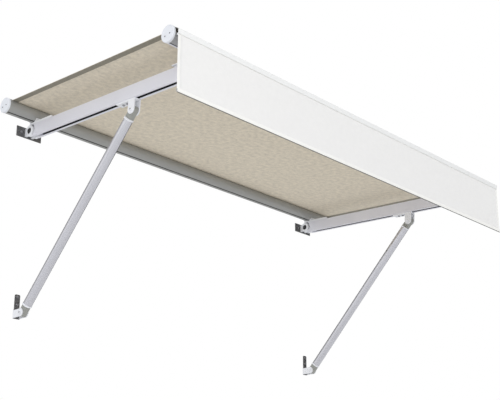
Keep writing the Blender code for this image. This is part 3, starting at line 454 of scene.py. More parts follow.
strutTurn = math.atan2(-strutWay[1], strutWay[2])
finishes = {
    "rail": extrudedMetal("railAnodised", (0.77, 0.77, 0.825), 0.36, 0.15, layout["pitch"], run=1),
    # the rear housing and the front nose in dark grey: partly their own grey, partly painted shade of their
    # undersides
    "housing": extrudedMetal("housingGreyWithPaintedShade", (0.36, 0.36, 0.345), 0.40, 0.25),
    "nose": extrudedMetal("noseGreyWithPaintedShade", (0.34, 0.34, 0.345), 0.42, 0.25),
    "strut": extrudedMetal("strutAnodised", (0.66, 0.66, 0.70), 0.22, 0.85, strutTurn, run=2,
                           fine=220.0, grain=0.004),
    "roller": extrudedMetal("rollerTube", (0.45, 0.45, 0.46), 0.4, 0.8),
    "white": powderCoat("whitePowderCoat", (0.86, 0.87, 0.90), 0.36),
    "fascia": powderCoat("fasciaPowderCoat", (0.93, 0.93, 0.915), 0.34, 0.02),
    "cap": powderCoat("capPowderCoat", (0.80, 0.82, 0.86), 0.40),
    "cast": powderCoat("greyPowderCoat", (0.66, 0.67, 0.70), 0.42),
    "eye": powderCoat("oliveGreyCoat", (0.33, 0.335, 0.31), 0.38),
    # the wall plates' dark grey: partly their zinc coat, partly painted shade of their faces
    "plate": galvanised("galvanisedPlateWithPaintedShade", (0.20, 0.20, 0.205), 0.5),
    "steel": steelFinish("stainlessSteel", (0.42, 0.42, 0.44), 0.32),
    # dark steel on the cap screws and pivot bolts: painted shade of their recesses
    "dark": steelFinish("darkSteelPaintedShade", (0.10, 0.10, 0.105), 0.42),
    "plastic": mouldedPlastic("greyPlastic", (0.40, 0.41, 0.43), 0.5),
    "black": mouldedPlastic("blackPlastic", (0.022, 0.022, 0.024), 0.5),
    "canopy": wovenCloth("beigeAcrylic", (0.695, 0.620, 0.490), 0.0012, 0.22),
    # painted shade: the double-layered hem, darker against the light, used on the underside only
    "hem": wovenCloth("beigeHemPaintedShade", (0.22, 0.20, 0.15), 0.0012, 0.12),
    "valance": wovenCloth("whiteScreen", (0.88, 0.87, 0.85), 0.0010, 0.02),
    "valanceHem": wovenCloth("creamHem", (0.94, 0.93, 0.89), 0.0010, 0.02),
    "sleeve": wovenCloth("creamSleeve", (0.94, 0.93, 0.89), 0.0010, 0.02, own=None),
    "thread": wovenCloth("sewingThread", (0.62, 0.58, 0.50), 0.0006, 0.15, own=None),
}
print("finishes made", len(finishes))

slotFinish = {
    "anodised_aluminium": "rail",
    "roller_aluminium": "roller",
    "white_coated_aluminium": "white",
    "white_cast_fitting": "cast",
    "stainless_steel": "steel",
    "grey_plastic": "plastic",
    "black_plastic": "black",
    "black_rubber": "black",
    "beige_fabric": "canopy",
    "white_fabric": "valance",
}
for entry in frame["record"]["subparts"]:
    solid = frame["nodes"][entry["node"]]
    solid.data.materials.clear()
    solid.data.materials.append(finishes[slotFinish[entry["material_slot"]]])
print("solids given their finishes")

# Round housings, the same section as the solids with fine arcs and rounded lips
housing = {
    "radius": 0.0445,
    "wall": 0.002,
    "groove": math.radians(11),
    "rearGroove": math.radians(-71),
    "frontGroove": math.radians(-90),
    "fabricLift": 0.0313,       # cloth's middle above a housing's axis
    "fabric": 0.001,
    "slotPlay": 0.001,
    "noseReach": 0.0616,
    "noseDrop": 0.011,
    "noseRadius": 0.004,
    "noseAt": math.radians(-14),
    "fasciaTop": 0.014,
    "fasciaFoot": -0.0125,
    "pathStep": 0.0012,
    "bend": 0.005,              # length over which the fascia's and nose's corners are rounded
    "grooveShadeGap": 0.0014,
    "grooveShadeReach": 2.4,           # half the dark strip's width, in half grooves
    "grooveShadeThickness": 0.0016,
}


def buildHousings():
    p = housing
    middle, wall, half = p["radius"] - p["wall"] / 2, p["wall"], p["groove"] / 2
    slotLow = math.asin((p["fabricLift"] - p["fabric"] / 2 - p["slotPlay"]) / p["radius"])
    slotHigh = math.asin((p["fabricLift"] + p["fabric"] / 2 + p["slotPlay"]) / (p["radius"] - wall))
    # the half-round lips reach as far as the solids' square ones
    end = 0.5 * wall / middle
    white = "white_coated_aluminium"

    def shell(name, path, place, body, material, slot="anodised_aluminium"):
        piece = extrude(name + "_skin", strip(path, wall), shellLow, shellHigh, material, place)
        settle(piece, body, slot, name)

    def grooveShade(name, at, place, body):
        # a black strip behind the groove between two shells: painted shade in the groove
        reach = p["grooveShadeReach"] * half
        path = arcPoints(p["radius"] - wall - p["grooveShadeGap"], at - reach, at + reach)
        shadeBand = strip(path, p["grooveShadeThickness"])
        settle(extrude(name, shadeBand, shellLow, shellHigh, "black", place), body, "black_rubber")

    g = p["rearGroove"]
    path = arcPoints(middle, g - half - end, -2 * math.pi + slotHigh + end)
    shell("rear_housing_body", path, rear, "rail_frame", "housing")
    path = arcPoints(middle, g + half + end, slotLow - end)
    shell("rear_housing_cover", path, rear, "rail_frame", "housing")
    grooveShade("rear_housing_groove_shade", g, rear, "rail_frame")

    g = p["frontGroove"]
    path = arcPoints(middle, g - half - end, -math.pi - slotLow + end)
    shell("front_housing_body", path, front, "front_bar", "rail")
    # up the fascia, round its top and along a tangent onto the round section
    reach = p["noseReach"] + 2 * p["fabric"] + wall / 2
    corner = math.hypot(reach, p["fasciaTop"])
    tangent = math.asin(p["fasciaTop"] / corner) + math.acos(middle / corner)
    fascia = [(-reach, p["fasciaFoot"]), (-reach, p["fasciaTop"])]
    path = np.vstack((fascia, arcPoints(middle, tangent, math.pi - slotHigh - end)))
    path = smoothPath(path, p["pathStep"], p["bend"])
    shell("front_housing_cover", path, front, "front_bar", "fascia", white)
    tip = (-p["noseReach"] + p["noseRadius"], -p["noseDrop"] - p["noseRadius"])
    path = np.vstack((arcPoints(middle, g + half + end, p["noseAt"]), [tip]))
    path = smoothPath(path, p["pathStep"], p["bend"])
    shell("front_housing_nose", path, front, "front_bar", "nose", white)
    bead = ovalPoints(tip, p["noseRadius"], p["noseRadius"], 28)
    lip = extrude("front_housing_lip", bead, shellLow, shellHigh, "white", front)
    settle(lip, "front_bar", white)
    grooveShade("front_housing_groove_shade", g, front, "front_bar")


buildHousings()
print("housings built")

# End caps, with a raised rim and two sunk screws
cap = {
    "radius": 0.046,
    "length": 0.014,
    "round": 0.004,
    "dish": 0.0012,             # the face lies this far inside the rim
    "rim": 0.0048,              # width of the rim
    "ramp": 0.0012,             # slope from the rim down to the face
    "spigot": 0.0422,
    "spigotDepth": 0.002,
    "seam": 0.0003,
    "screw": 0.0036,
    "screwOffset": 0.017,
    "screwDrop": 0.006,
    "screwSlant": 0.004,
}


def buildEndCaps():
    p = cap
    a = np.linspace(0, math.pi / 2, 7)
    rim = np.column_stack((
        p["radius"] - p["round"] * (1 - np.cos(a)), p["length"] - p["round"] * (1 - np.sin(a))
    ))
    inner = p["radius"] - p["rim"] - p["round"] * 0.4
    profile = [(0, -p["spigotDepth"]), (p["spigot"], -p["spigotDepth"]), (p["spigot"], 0)]
    profile += [(p["radius"] - p["seam"], 0), *(tuple(row) for row in rim), (inner + p["ramp"], p["length"])]
    profile += [(inner, p["length"] - p["dish"]), (0, p["length"] - p["dish"] * 0.7)]
    r = p["screw"]
    head = [(0, -0.001), (r, -0.001), (r, 0.0006), (r * 0.86, 0.0013), (r * 0.52, 0.0015),
            (r * 0.42, 0.0015, 1), (r * 0.42, 0.0002, 1), (0, 0)]
    for name, place, body in (("rear", rear, "rail_frame"), ("front", front, "front_bar")):
        for side, x, out in (("left", leftEnd, -1), ("right", rightEnd, 1)):
            base = place(np.zeros(1), np.zeros(1), np.array([x - out * p["length"]]))[0]
            own = f"{name}_end_cap_{side}"
            disc = turned(own + "_skin", profile, base, (out, 0, 0), "cap", 96, angle=40)
            settle(disc, body, "white_coated_aluminium", own)
            for letter, step in (("a", -1), ("b", 1)):
                y, z = step * p["screwOffset"], -p["screwDrop"] - step * p["screwSlant"]
                at = place(np.array([y]), np.array([z]), np.array([x - out * p["dish"]]))[0]
                own = f"{name}_cap_screw_{side}_{letter}"
                # dark screw heads: painted shade of the sunk screws' recesses
                settle(turned(own, head, at, (out, 0, 0), "dark", 48), body, "stainless_steel")


buildEndCaps()
print("end caps built")

# Castings, rails and brackets: copies of the solids with rounded edges
def nearWall(corner):
    # the brackets' wall plates, whose faces get a dark grey that is partly painted shade
    return corner.y > -0.0056


# finishes, slot, rounding of the edges, and which faces get the second finish
casting = {
    "guide_rail": (("rail",), "anodised_aluminium", 0.0009, None),
    "upper_wall_bracket": (("white", "plate"), "white_cast_fitting", 0.0010, nearWall),
    "lower_wall_bracket": (("white", "plate"), "white_cast_fitting", 0.0010, nearWall),
    "rail_hub": (("cast",), "white_cast_fitting", 0.0008, None),
    "rail_front_cap": (("plastic",), "grey_plastic", 0.0008, None),
    "rear_saddle": (("white",), "white_cast_fitting", 0.0008, None),
    "front_runner": (("white",), "white_cast_fitting", 0.0008, None),
    "clevis_bracket": (("white",), "white_cast_fitting", 0.0010, None),
}
# a black lining on the ceiling and sides of a rail's lower chamber: painted shade that darkens its slot
slotShade = {
    "half": 0.0204,
    "foot": -0.0348,            # below the rail's middle
    "top": -0.0219,
    "thickness": 0.0008,
    "frontEnd": -1.485,         # along the rail, from the hub axis
    "rearEnd": -0.075,
}


def buildCastings():
    p = slotShade
    path = [(-p["half"], p["foot"]), (-p["half"], p["top"]), (p["half"], p["top"]), (p["half"], p["foot"])]
    shadeOutline = strip(smoothPath(path, 0.001, 0.002), p["thickness"])
    for side, x, _ in sides:
        for name, (materials, slot, width, second) in casting.items():
            softened(f"{name}_{side}", materials, slot, width, second)
        # the black lining: painted shade in the rail's slot
        piece = extrude(f"rail_slot_shade_{side}", shadeOutline, p["frontEnd"], p["rearEnd"],
                        "black", onRail(x))
        settle(piece, "rail_frame", "black_plastic")


buildCastings()
print("castings and rails built")

# Screws and bolts
fixing = {
    "shank": 0.006,             # radius of a bolt
    "headHeight": 0.005,
    "socket": 0.42,             # share of a head's radius
    "nutFlat": 0.0095,          # half the width across a nut's flats
    "nutHeight": 0.0036,
    "pivotGrip": 0.0293,        # rail's middle to the seat of the bolt's head
    "pivotHead": 0.013,
    "strutGrip": 0.0221,
    "strutHead": 0.011,
    "hubFace": 0.029,           # rail's middle to the hub's face
    "wallHead": 0.0075,
    "wallHeight": 0.004,
    "plate": 0.005,
    "upperSpread": 0.053,       # upper wall screws to the bracket's middle
    "lowerRise": 0.081,         # middle of the lower wall screws above the strut's foot
    "lowerSpread": 0.023,
}
# profiles as radius and height: the hub's raised ring, and a sunk dark disc inside it, painted shade of the
# bolt's recess
hubRing = [(0.0180, -0.001), (0.0332, -0.001), (0.0337, 0.0004), (0.0334, 0.0012), (0.0322, 0.0017),
           (0.0195, 0.0017), (0.0186, 0.0012), (0.0180, 0.0002)]
hubRecessShade = [(0, -0.0008), (0.0182, -0.0008), (0.0182, 0.0003), (0.0150, 0.0006), (0, 0.0006)]


def boltProfile(r, h, socket, shank, grip):
    # the shank, then a cap head with a rounded rim and a hexagon socket, from its seat up
    return [(0, -grip * 2), (shank, -grip * 2), (shank, 0.0001), (r, 0), (r, h * 0.70), (r * 0.96, h * 0.90),
            (r * 0.88, h), (socket * 1.25, h), (socket, h - 0.0005, 1), (socket, h * 0.25, 1), (0, h * 0.18)]


def socketShadeProfile(r, h):
    # a black plug at a socket's foot: painted shade in the socket
    wide = r * 0.98
    return [(0, h * 0.3), (wide, h * 0.3, 1), (wide, h * 0.72, 1), (r * 0.9, h * 0.76, 1), (0, h * 0.7)]


def nutProfile(r, h, shank):
    # a nut with chamfered corners, and the end of its bolt
    return [(0, 0), (r, 0, 1), (r, h * 0.82, 1), (r * 0.97, h, 0), (shank * 1.05, h), (shank, h * 0.9),
            (shank, h + 0.0006), (shank * 0.8, h + 0.0012), (0, h + 0.0012)]


def wallScrewProfile(r, h, plate):
    # the shank in the plate, a washer, and a head with a hexagon socket
    return [(0, plate), (0.004, plate), (0.004, -0.0003), (r, -0.0003), (r, -0.0012), (r * 0.93, -0.0016),
            (r * 0.80, -0.0018), (r * 0.78, -h * 0.8), (r * 0.66, -h - 0.0002), (r * 0.5, -h - 0.0003),
            (r * 0.42, -h * 0.95, 1), (r * 0.42, -h * 0.5, 1), (0, -h * 0.45)]


def buildBolts():
    p = fixing
    h, steel = p["headHeight"], "stainless_steel"
    nutShape = nutProfile(p["nutFlat"], p["nutHeight"], p["shank"])
    wallShape = wallScrewProfile(p["wallHead"], p["wallHeight"], p["plate"])
    for side, x, out in sides:
        hub = np.array((x, -layout["pivotOut"], 0))
        foot = np.array((x, -layout["footOut"], -layout["footDrop"]))
        clevis = clevisPlace + (x, 0, 0)
        places = {
            # the pivot bolt in dark steel: painted shade of the hub's recess
            "rail_pivot_bolt": (hub, p["pivotGrip"], p["pivotHead"], "wall_brackets", "dark"),
            "clevis_bolt": (clevis, p["strutGrip"], p["strutHead"], f"clevis_{side}", "white"),
            "strut_foot_bolt": (foot, p["strutGrip"], p["strutHead"], "wall_brackets", "white"),
        }
        for name, (at, grip, radius, body, material) in places.items():
            own, socket, seat = f"{name}_{side}", radius * p["socket"], np.array((out * grip, 0, 0))
            shape = boltProfile(radius, h, socket, p["shank"], grip)
            head = turned(own + "_skin", shape, at + seat, (out, 0, 0), material, 48)
            settle(head, body, steel, own)
            # a black plug in the socket: painted shade
            plug = turned(own + "_socket_shade", socketShadeProfile(socket, h), at + seat, (out, 0, 0), "black", 48)
            settle(plug, body, steel)
            nut = turned(own + "_nut", nutShape, at - seat, (-out, 0, 0), material, 48)
            settle(nut, body, steel)
        for letter, face in (("a", -1), ("b", 1)):
            at, way = hub + (face * p["hubFace"], 0, 0), (face, 0, 0)
            ring = turned(f"hub_ring_{side}_{letter}", hubRing, at, way, "white", closed=True)
            settle(ring, "wall_brackets", "white_cast_fitting")
            # a black disc in the ring: painted shade of the bolt's recess
            disc = turned(f"hub_recess_shade_{side}_{letter}", hubRecessShade, at, way, "black")
            settle(disc, "wall_brackets", "black_plastic")
        # two wall screws to a bracket: side by side above, one over the other below
        lowerMiddle = p["lowerRise"] - layout["footDrop"]
        rows = (("upper", p["upperSpread"], 0.0, 0.0), ("lower", 0.0, lowerMiddle, p["lowerSpread"]))
        for name, across, middle, up in rows:
            for letter, step in (("a", -1), ("b", 1)):
                at = np.array((x + step * across, -p["plate"], middle + step * up))
                own = f"{name}_wall_screw_{side}_{letter}"
                screw = turned(own + "_skin", wallShape, at, (0, 1, 0), "steel", 48)
                settle(screw, "wall_brackets", steel, own)


buildBolts()
print("bolts and screws built")

# Struts: a drawn tube, and at each end an eye with a grooved collar
strut = {
    "radius": 0.026,
    "wall": 0.003,
    "neck": 0.050,              # pivot to collar
    "collar": 0.028,
    "collarLength": 0.010,
    "eye": 0.023,
    "eyeWidth": 0.030,
    "round": 0.0014,
    "ease": 0.0008,             # rounding of the tube's and collar's edges
    "nutAhead": 0.074,          # clevis bolt to the slot nut's middle, up the rail
    "nutHalf": 0.031,
    "nutFoot": -0.0352,         # below the rail's middle
    "screwSpread": 0.016,       # the nut's screws to its middle
    "screwSeat": 0.0514,        # their seats above the clevis bolt
}
# the slot nut's section, and its hexagon screws with washers as radius and height
nutSection = ((-0.018, 0.0), (0.018, 0.0), (0.018, 0.008), (0.0155, 0.011), (-0.0155, 0.011), (-0.018, 0.008))
nutScrew = [(0, -0.025), (0.0039, -0.025), (0.0039, 0), (0.0076, 0), (0.0076, 0.0010), (0.0062, 0.0012),
            (0.0056, 0.0012, 1), (0.0056, 0.0056, 1), (0.0053, 0.0064), (0, 0.0066)]


def buildStruts():
    p = strut
    r, inner, ease = p["radius"], p["radius"] - p["wall"], p["ease"]
    low = p["neck"] + p["collarLength"] + layout["gap"]
    high = strutLength - low
    tube = [(r - ease, low), (r, low + ease), (r, high - ease), (r - ease, high), (inner, high), (inner, low)]
    # the collar: two grooves round it, and a plug that goes into the tube
    c, n, plug = p["collar"], p["collarLength"], inner - layout["gap"]
    collarShape = [(0, 0), (c - ease, 0), (c, ease), (c, n * 0.30), (c - 0.0011, n * 0.36),
                   (c - 0.0011, n * 0.46), (c, n * 0.52), (c, n * 0.70), (c - 0.0009, n * 0.76),
                   (c - 0.0009, n * 0.82), (c, n * 0.88), (c - 0.0006, n), (plug, n), (plug, n + 0.02),
                   (0, n + 0.02)]
    half, waist = p["eyeWidth"] / 2, p["eye"] * 0.98
    down = np.array((0, slopeSin, -slopeCos))
    nutMiddle = -layout["clevisAlong"] + p["nutAhead"]
    block = np.array(nutSection) + (0, p["nutFoot"])
    for side, x, _ in sides:
        place = onStrut(x)
        body = f"strut_{side}"
        foot = np.array((x, -layout["footOut"], -layout["footDrop"]))
        piece = turned(f"strut_tube_{side}_skin", tube, foot, strutWay, "strut", 96, closed=True)
        settle(piece, body, "anodised_aluminium", f"strut_tube_{side}")
        for end, pivot, way in (("lower", 0.0, 1), ("upper", strutLength, -1)):
            a = np.linspace(0, math.pi, 25)
            bow = np.column_stack((p["eye"] * np.cos(a), pivot - way * p["eye"] * np.sin(a)))
            neck = pivot + way * (p["neck"] + 0.004)
            shoulder = pivot + way * p["neck"] * 0.6
            outline = np.vstack((bow, [(-waist, shoulder), (-waist, neck), (waist, neck), (waist, shoulder)]))
            eye = extrude(f"strut_{end}_eye_{side}_skin", outline, -half, half, "eye", place)
            softEdges(eye, p["round"], 3)
            settle(eye, body, "white_cast_fitting", f"strut_{end}_eye_{side}")
            at = foot + (pivot + way * p["neck"]) * strutWay
            own = f"strut_{end}_collar_{side}"
            collar = turned(own, collarShape, at, way * strutWay, "white", 96)
            settle(collar, body, "white_cast_fitting")
        # the slot nut under the clevis's foot, and its screws
        for letter, step in (("a", -1), ("b", 1)):
            along = nutMiddle + step * p["screwSpread"]
            at = fromRail([(x, along, -layout["clevisBelow"] + p["screwSeat"])])[0]
            screw = turned(f"slot_nut_screw_{side}_{letter}", nutScrew, at, down, "steel", 48)
            settle(screw, f"clevis_{side}", "stainless_steel")
        nut = extrude(f"slot_nut_{side}_skin", block, nutMiddle - p["nutHalf"], nutMiddle + p["nutHalf"],
                      "steel", onRail(x))
        softEdges(nut, 0.0006)
        settle(nut, f"clevis_{side}", "stainless_steel", f"slot_nut_{side}")


buildStruts()
print("struts built")

# Main cloth, taut between the housings
canopy = {
    "inset": 0.0285,            # cap face to the cloth's edge
    "thickness": 0.001,
    "hem": 0.043,
    "hemThickness": 0.002,
    "rearReach": 0.006,         # ends of the sheet, past the housings' axes
    "frontReach": 0.017,
    "sag": 0.0035,
    "ripple": 0.0007,
    "rows": 90,
    "columns": (8, 110),        # points across a side hem and between the hems
    "step": 0.0008,
    "stitchRear": 0.078,        # seams' ends from the sheet's ends
    "stitchFront": 0.045,
    "stitchPitch": 0.0065,
    "stitchLength": 0.0044,
    "stitchRadius": 0.00045,
    "leadStart": 0.0168,        # the cloth's end on its way to the bead
    "lead": ((0.0150, 0.0318), (0.0112, 0.0345), (0.0095, 0.0352)),
    "bead": (0.0095, 0.0350),   # behind and above the front housing's axis
    "beadRadius": 0.003,
}


def stitchRow(name, points, normals, material):
    # one row of sewn stitches: each a slim double pyramid along the row, half sunk in the cloth
    p = canopy
    points, normals = np.asarray(points, float), np.asarray(normals, float)
    way = np.gradient(points, axis=0)
    way /= np.linalg.norm(way, axis=1)[:, None]
    across = np.cross(way, normals)
    half, r = p["stitchLength"] / 2, p["stitchRadius"]
    shape = (
        (-half, 0, 0), (0, r, 0.2 * r), (0, 0, 1.3 * r), (0, -r, 0.2 * r), (0, 0, -0.6 * r), (half, 0, 0)
    )
    corners = np.stack([points + u * way + v * across + w * normals for u, v, w in shape], axis=1)
    faces = np.array((0, 2, 1, 0, 3, 2, 0, 4, 3, 0, 1, 4, 5, 1, 2, 5, 2, 3, 5, 3, 4, 5, 4, 1))
    loops = (np.arange(len(points))[:, None] * 6 + faces).ravel()
    sizes = [3] * (len(loops) // 3)
    return facesOut(addMesh(name, corners.reshape(-1, 3), loops, sizes, finishes[material]), 80)


def buildCanopy():
    p = canopy
    low, high = leftEnd + p["inset"], rightEnd - p["inset"]
    lift = housing["fabricLift"] + layout["lift"]
    start = -layout["rearAxis"] + p["rearReach"]
    end = -layout["frontAxis"] + p["frontReach"]
    stations = np.linspace(start, end, p["rows"])
    share = (start - stations) / (start - end)

    def level(x, s):
        # a shallow sag along the rails, and slow ripples that fade at the housings
        u = (x - low) / (high - low)
        bow = np.sin(math.pi * s)
        waves = np.sin(2 * math.pi * (5 * u + 0.4 * s))
        waves += 0.6 * np.sin(2 * math.pi * (9 * u - 0.7 * s) + 1.3)
        return -p["sag"] * bow * (0.6 + 0.4 * np.sin(math.pi * u)) + p["ripple"] * bow * waves

    step = p["step"]
    ring, offset = hemmedRing(low, high, p["hem"], step, p["columns"], p["thickness"], p["hemThickness"])
    n, m = len(ring), len(stations)
    x = np.tile(ring, m)
    y = np.repeat(stations, n)
    z = lift + np.tile(offset, m) + level(x, np.repeat(share, n))
    # faces of the underside's hems get the darker hem material: painted shade of the double layer against the
    # light
    k = np.arange(n)
    under = (k >= n // 2) & (k < n - 2)
    atHem = (ring < low + p["hem"] - step) | (np.roll(ring, -1) > high - p["hem"] + step)
    cloth = closedSheet("awning_fabric_cloth", fromRail(np.column_stack((x, y, z))), n,
                        ["canopy", "hem"], np.column_stack((x + 0.5, y + 2.0)), under & atHem)
    settle(cloth, "rail_frame", "beige_fabric", "awning_fabric")

    rows = []
    count = int((start - end - p["stitchRear"] - p["stitchFront"]) / p["stitchPitch"])
    along = np.linspace(start - p["stitchRear"], end + p["stitchFront"], count)
    s = (start - along) / (start - end)
    for edge, base, way in (("left", low, 1), ("right", high, -1)):
        for letter, inset in (("a", 0.0035), ("b", p["hem"] - 0.0045)):
            for face, sign in (("top", 1), ("under", -1)):
                across = np.full(count, base + way * inset)
                up = lift + sign * p["hemThickness"] / 2 + level(across, s)
                points = fromRail(np.column_stack((across, along, up)))
                normals = np.tile((0, -sign * slopeSin, sign * slopeCos), (count, 1))
                row = stitchRow(f"canopy_stitch_{edge}_{letter}_{face}", points, normals, "thread")
                settle(row, "rail_frame", "beige_fabric")
                rows.append(row)
    # the cloth's end in the front housing, and the bead that holds it there
    lead = [(p["leadStart"], housing["fabricLift"]), *p["lead"]]
    outline = strip(smoothPath(lead, 0.0006, 0.003), p["thickness"])
    tail = extrude("awning_fabric_end", outline, low, high, "thread", front)
    settle(tail, "front_bar", "beige_fabric")
    bead = ovalPoints(p["bead"], p["beadRadius"], p["beadRadius"], 20)
    rope = extrude("awning_fabric_bead", bead, low, high, "thread", front)
    settle(rope, "front_bar", "beige_fabric")
    for piece in (cloth, *rows):
        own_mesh(piece)


buildCanopy()
print("canopy built")

# Drop valance: the cloth over the nose, the hanging sheet, and the bar in its lower hem
valance = {
    "inset": 0.0157,
    "drop": 0.304,
    "hem": 0.020,
    "sideHem": 0.017,
    "thickness": 0.001,
    "sideThickness": 0.0018,
    "wave": 0.0012,
    "rows": 40,
    "columns": (5, 160),        # points across a side hem and between the hems
    "step": 0.0006,
    "below": 0.0025,            # start of the sheet below the nose's tangent point
    "overlap": 0.001,           # foot of the sheet inside the sleeve
    "mouth": ((-0.0095, 0.0166), (-0.0432, -0.0046)),  # the cloth's way from its roller to the nose
    "lip": ((0.0008, 0.001), (0.0012, 0.0)),           # the sleeve's edges beside the sheet
    "shoulder": -0.0042,
    "stitchOut": 0.0017,
    "stitchDrop": 0.0006,
    # a dark strip under the sleeve: painted shade of the bar's underside
    "edgeShade": (0.0026, 0.0010),
    "barHeight": 0.014,
    "barThickness": 0.006,
    "barCorner": 0.0014,
    "top": -0.0320,             # world height from which the hanging sheet rolls up
}


def buildValance():
    p = valance
    low, high = leftEnd + p["inset"], rightEnd - p["inset"]
    wrap = housing["noseRadius"] + layout["gap"] + p["thickness"] / 2
    nose = housing["noseRadius"]
    tip = np.array((-housing["noseReach"] + nose, -housing["noseDrop"] - nose))
    ahead, down = np.array((-slopeCos, slopeSin)), np.array((-slopeSin, -slopeCos))
    start = tip + ahead * wrap
    startWorld = front(start[:1], start[1:], np.zeros(1))[0]
    y, top = startWorld[1], startWorld[2]
    hemTop = top - p["drop"] + p["hem"]

    # over the nose: from the roller through the mouth, round the nose's tip and a little down
    a = np.radians(np.linspace(78, -4, 12))
    over = tip + np.column_stack((-np.cos(a), np.sin(a))) * wrap
    path = smoothPath(np.vstack((p["mouth"], over, start + down * 0.004)), 0.0007, 0.0022)
    lip = extrude("valance_over_nose", strip(path, p["thickness"]), shellLow + 0.001, shellHigh - 0.001,
                  "sleeve", front)
    settle(lip, "front_bar", "white_fabric")

    # the hanging sheet, thicker at its side hems, with slow upright folds that fade at both ends
    first = top - p["below"]
    stations = np.linspace(first, hemTop + p["overlap"], p["rows"])
    step = p["step"]
    ring, offset = hemmedRing(low, high, p["sideHem"], step, p["columns"], p["thickness"], p["sideThickness"])
    n, m = len(ring), len(stations)
    x = np.tile(ring, m)
    z = np.repeat(stations, n)
    s = (first - z) / (first - stations[-1])
    u = (x - low) / (high - low)
    folds = np.sin(2 * math.pi * (7 * u + 0.15 * s)) + 0.5 * np.sin(2 * math.pi * (13 * u - 0.1 * s) + 0.8)
    yy = y + np.tile(offset, m) + p["wave"] * folds * np.sin(math.pi * s) ** 2
    following = np.roll(ring, -1)
    atLow = np.maximum(ring, following) < low + p["sideHem"] + step / 2
    atHigh = np.minimum(ring, following) > high - p["sideHem"] - step / 2
    sheet = closedSheet("valance_cloth", np.column_stack((x, yy, z)), n,
                        ["valance", "valanceHem"], np.column_stack((x + 0.5, z + 1.0)),
                        atLow | atHigh)
    settle(sheet, "front_bar", "white_fabric", "valance_fabric")

    # the sleeve round the bar: down the front, under the bar and up the back to the sheet
    r = p["barThickness"] / 2 + layout["gap"] + p["thickness"] / 2
    a = np.linspace(0, math.pi, 13)
    foot = -p["hem"] + r + p["thickness"] / 2
    under = np.column_stack((-r * np.cos(a), foot - r * np.sin(a)))
    edges = np.array((*p["lip"], (r, p["shoulder"])))
    path = smoothPath(np.vstack((edges * (-1, 1), under, edges[::-1])), 0.0006, 0.0018)
    outline = strip(path, p["thickness"]) + (y, hemTop)
    sleeve = extrude("valance_sleeve", outline, low, high, "sleeve", inWorld)
    settle(sleeve, "valance_bar", "white_fabric")
    seam = np.linspace(low + 0.004, high - 0.004, int((high - low) / canopy["stitchPitch"]))
    for face, sign in (("front", -1), ("back", 1)):
        points = np.tile((0.0, y + sign * p["stitchOut"], hemTop - p["stitchDrop"]), (len(seam), 1))
        points[:, 0] = seam
        normal = np.array((0.0, sign, 0.25))
        normals = np.tile(normal / np.linalg.norm(normal), (len(seam), 1))
        row = stitchRow(f"valance_stitch_{face}", points, normals, "sleeve")
        settle(row, "valance_bar", "white_fabric")
    middle = hemTop - p["hem"] / 2
    t, h, corner = p["barThickness"] / 2, p["barHeight"] / 2, p["barCorner"]
    a = np.linspace(0, math.pi / 2, 5)
    outline = []
    for k, (cy, cz) in enumerate(((t, h), (-t, h), (-t, -h), (t, -h))):
        b = a + k * math.pi / 2
        outline += list(np.column_stack((y + cy - math.copysign(corner, cy) + corner * np.cos(b),
                                         middle + cz - math.copysign(corner, cz) + corner * np.sin(b))))
    bar = extrude("valance_bar_skin", outline, low + 0.0005, high - 0.0005, "steel", inWorld)
    settle(bar, "valance_bar", "stainless_steel", "valance_bar")
    # a dark strip under the sleeve: painted shade that draws the valance's lower edge
    edgeShade = ovalPoints((y, top - p["drop"] - 0.0002), *p["edgeShade"], 20)
    edge = extrude("valance_edge_shade", edgeShade, low, high, "black", inWorld)
    settle(edge, "valance_bar", "black_plastic")
    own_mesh(sheet)


buildValance()
print("valance built")

# Light, floor and camera
studio = {
    "floorLevel": -2.85,
    "floorTone": 0.80,
    "skyColour": (0.97, 0.98, 1.0),
    "ambient": 0.985,            # strength of the sky on the object
    "keyEnergy": 65.0,
    "keyPlace": (-4.2, -5.2, -0.9),
    "keyAim": (1.0, -0.9, -0.1),
    "keySize": 3.0,
    "brightSide": (-0.93, -0.35, -0.10),
    "darkEnd": 0.03,
    "brightEnd": 1.45,
    "fallFrom": -0.5,            # dot products between which reflections go from dark to bright
    "fallTo": 0.9,
}
view = {
    "place": (-2.9673, -4.7124, -2.4154),
    "tiltUp": 16.796,            # degrees
    "heading": -45.93,
    "lens": 70.846,
    "shiftUp": 0.12,
}


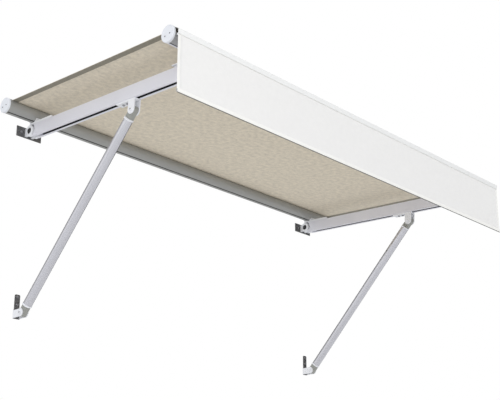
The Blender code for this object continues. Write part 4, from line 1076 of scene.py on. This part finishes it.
def buildStudio():
    p = studio
    world = bpy.data.worlds.new("studioWorld")
    bpy.context.scene.world = world
    world.use_nodes = True
    world.node_tree.nodes.clear()
    out = node(world, "ShaderNodeOutputWorld")
    lit = node(world, "ShaderNodeBackground", Color=(*p["skyColour"], 1), Strength=p["ambient"])
    seen = node(world, "ShaderNodeBackground", Color=(1, 1, 1, 1), Strength=1.0)
    # reflections see a studio whose light falls off with the direction's dot product with the
    # way to the bright side
    way = node(world, "ShaderNodeTexCoord")
    facing = node(world, "ShaderNodeVectorMath", operation="DOT_PRODUCT")
    facing.inputs[1].default_value = p["brightSide"]
    fall = node(world, "ShaderNodeMapRange", **{
        "From Min": p["fallFrom"], "From Max": p["fallTo"], "To Min": p["darkEnd"], "To Max": p["brightEnd"]
    })
    mirrored = node(world, "ShaderNodeBackground")
    ray = node(world, "ShaderNodeLightPath")
    through = node(world, "ShaderNodeMath", operation="MAXIMUM")
    gloss = node(world, "ShaderNodeMixShader")
    mix = node(world, "ShaderNodeMixShader")
    for output, target in (
        (way.outputs["Generated"], facing.inputs[0]),
        (facing.outputs["Value"], fall.inputs["Value"]),
        (fall.outputs[0], mirrored.inputs["Strength"]),
        (ray.outputs["Is Camera Ray"], through.inputs[0]),
        (ray.outputs["Is Transmission Ray"], through.inputs[1]),
        (ray.outputs["Is Glossy Ray"], gloss.inputs[0]),
        (lit.outputs[0], gloss.inputs[1]),
        (mirrored.outputs[0], gloss.inputs[2]),
        (through.outputs[0], mix.inputs[0]),
        (gloss.outputs[0], mix.inputs[1]),
        (seen.outputs[0], mix.inputs[2]),
        (mix.outputs[0], out.inputs["Surface"]),
    ):
        link(world, output, target)

    paleFloor = finish("paleFloor", (p["floorTone"],) * 3, 0.9)[0]
    u, v = np.meshgrid(np.linspace(-14, 16, 2), np.linspace(-16, 14, 2), indexing="ij")
    points = np.column_stack((u.ravel(), v.ravel(), np.full(4, p["floorLevel"])))
    floor = addMesh("floor", points, np.array([0, 2, 3, 1]), [4], paleFloor, smooth=False)

    lamp = bpy.data.lights.new("keyLamp", "AREA")
    lamp.energy = p["keyEnergy"]
    lamp.size = p["keySize"]
    key = newObject("keyLamp", lamp)
    key.location = p["keyPlace"]
    x, y, z = np.array(p["keyAim"]) - np.array(p["keyPlace"])
    key.rotation_euler = (math.atan2(math.hypot(x, y), -z), 0, math.atan2(y, x) - math.pi / 2)


def buildCamera():
    data = bpy.data.cameras.new("camera")
    data.sensor_width = 36
    data.lens = view["lens"]
    data.shift_y = view["shiftUp"]
    data.clip_end = 60
    camera = newObject("camera", data)
    camera.location = view["place"]
    camera.rotation_euler = (math.radians(90 + view["tiltUp"]), 0, math.radians(view["heading"]))
    bpy.context.scene.camera = camera


buildStudio()
buildCamera()
bpy.context.scene.view_settings.view_transform = "Standard"
print("studio and camera set")
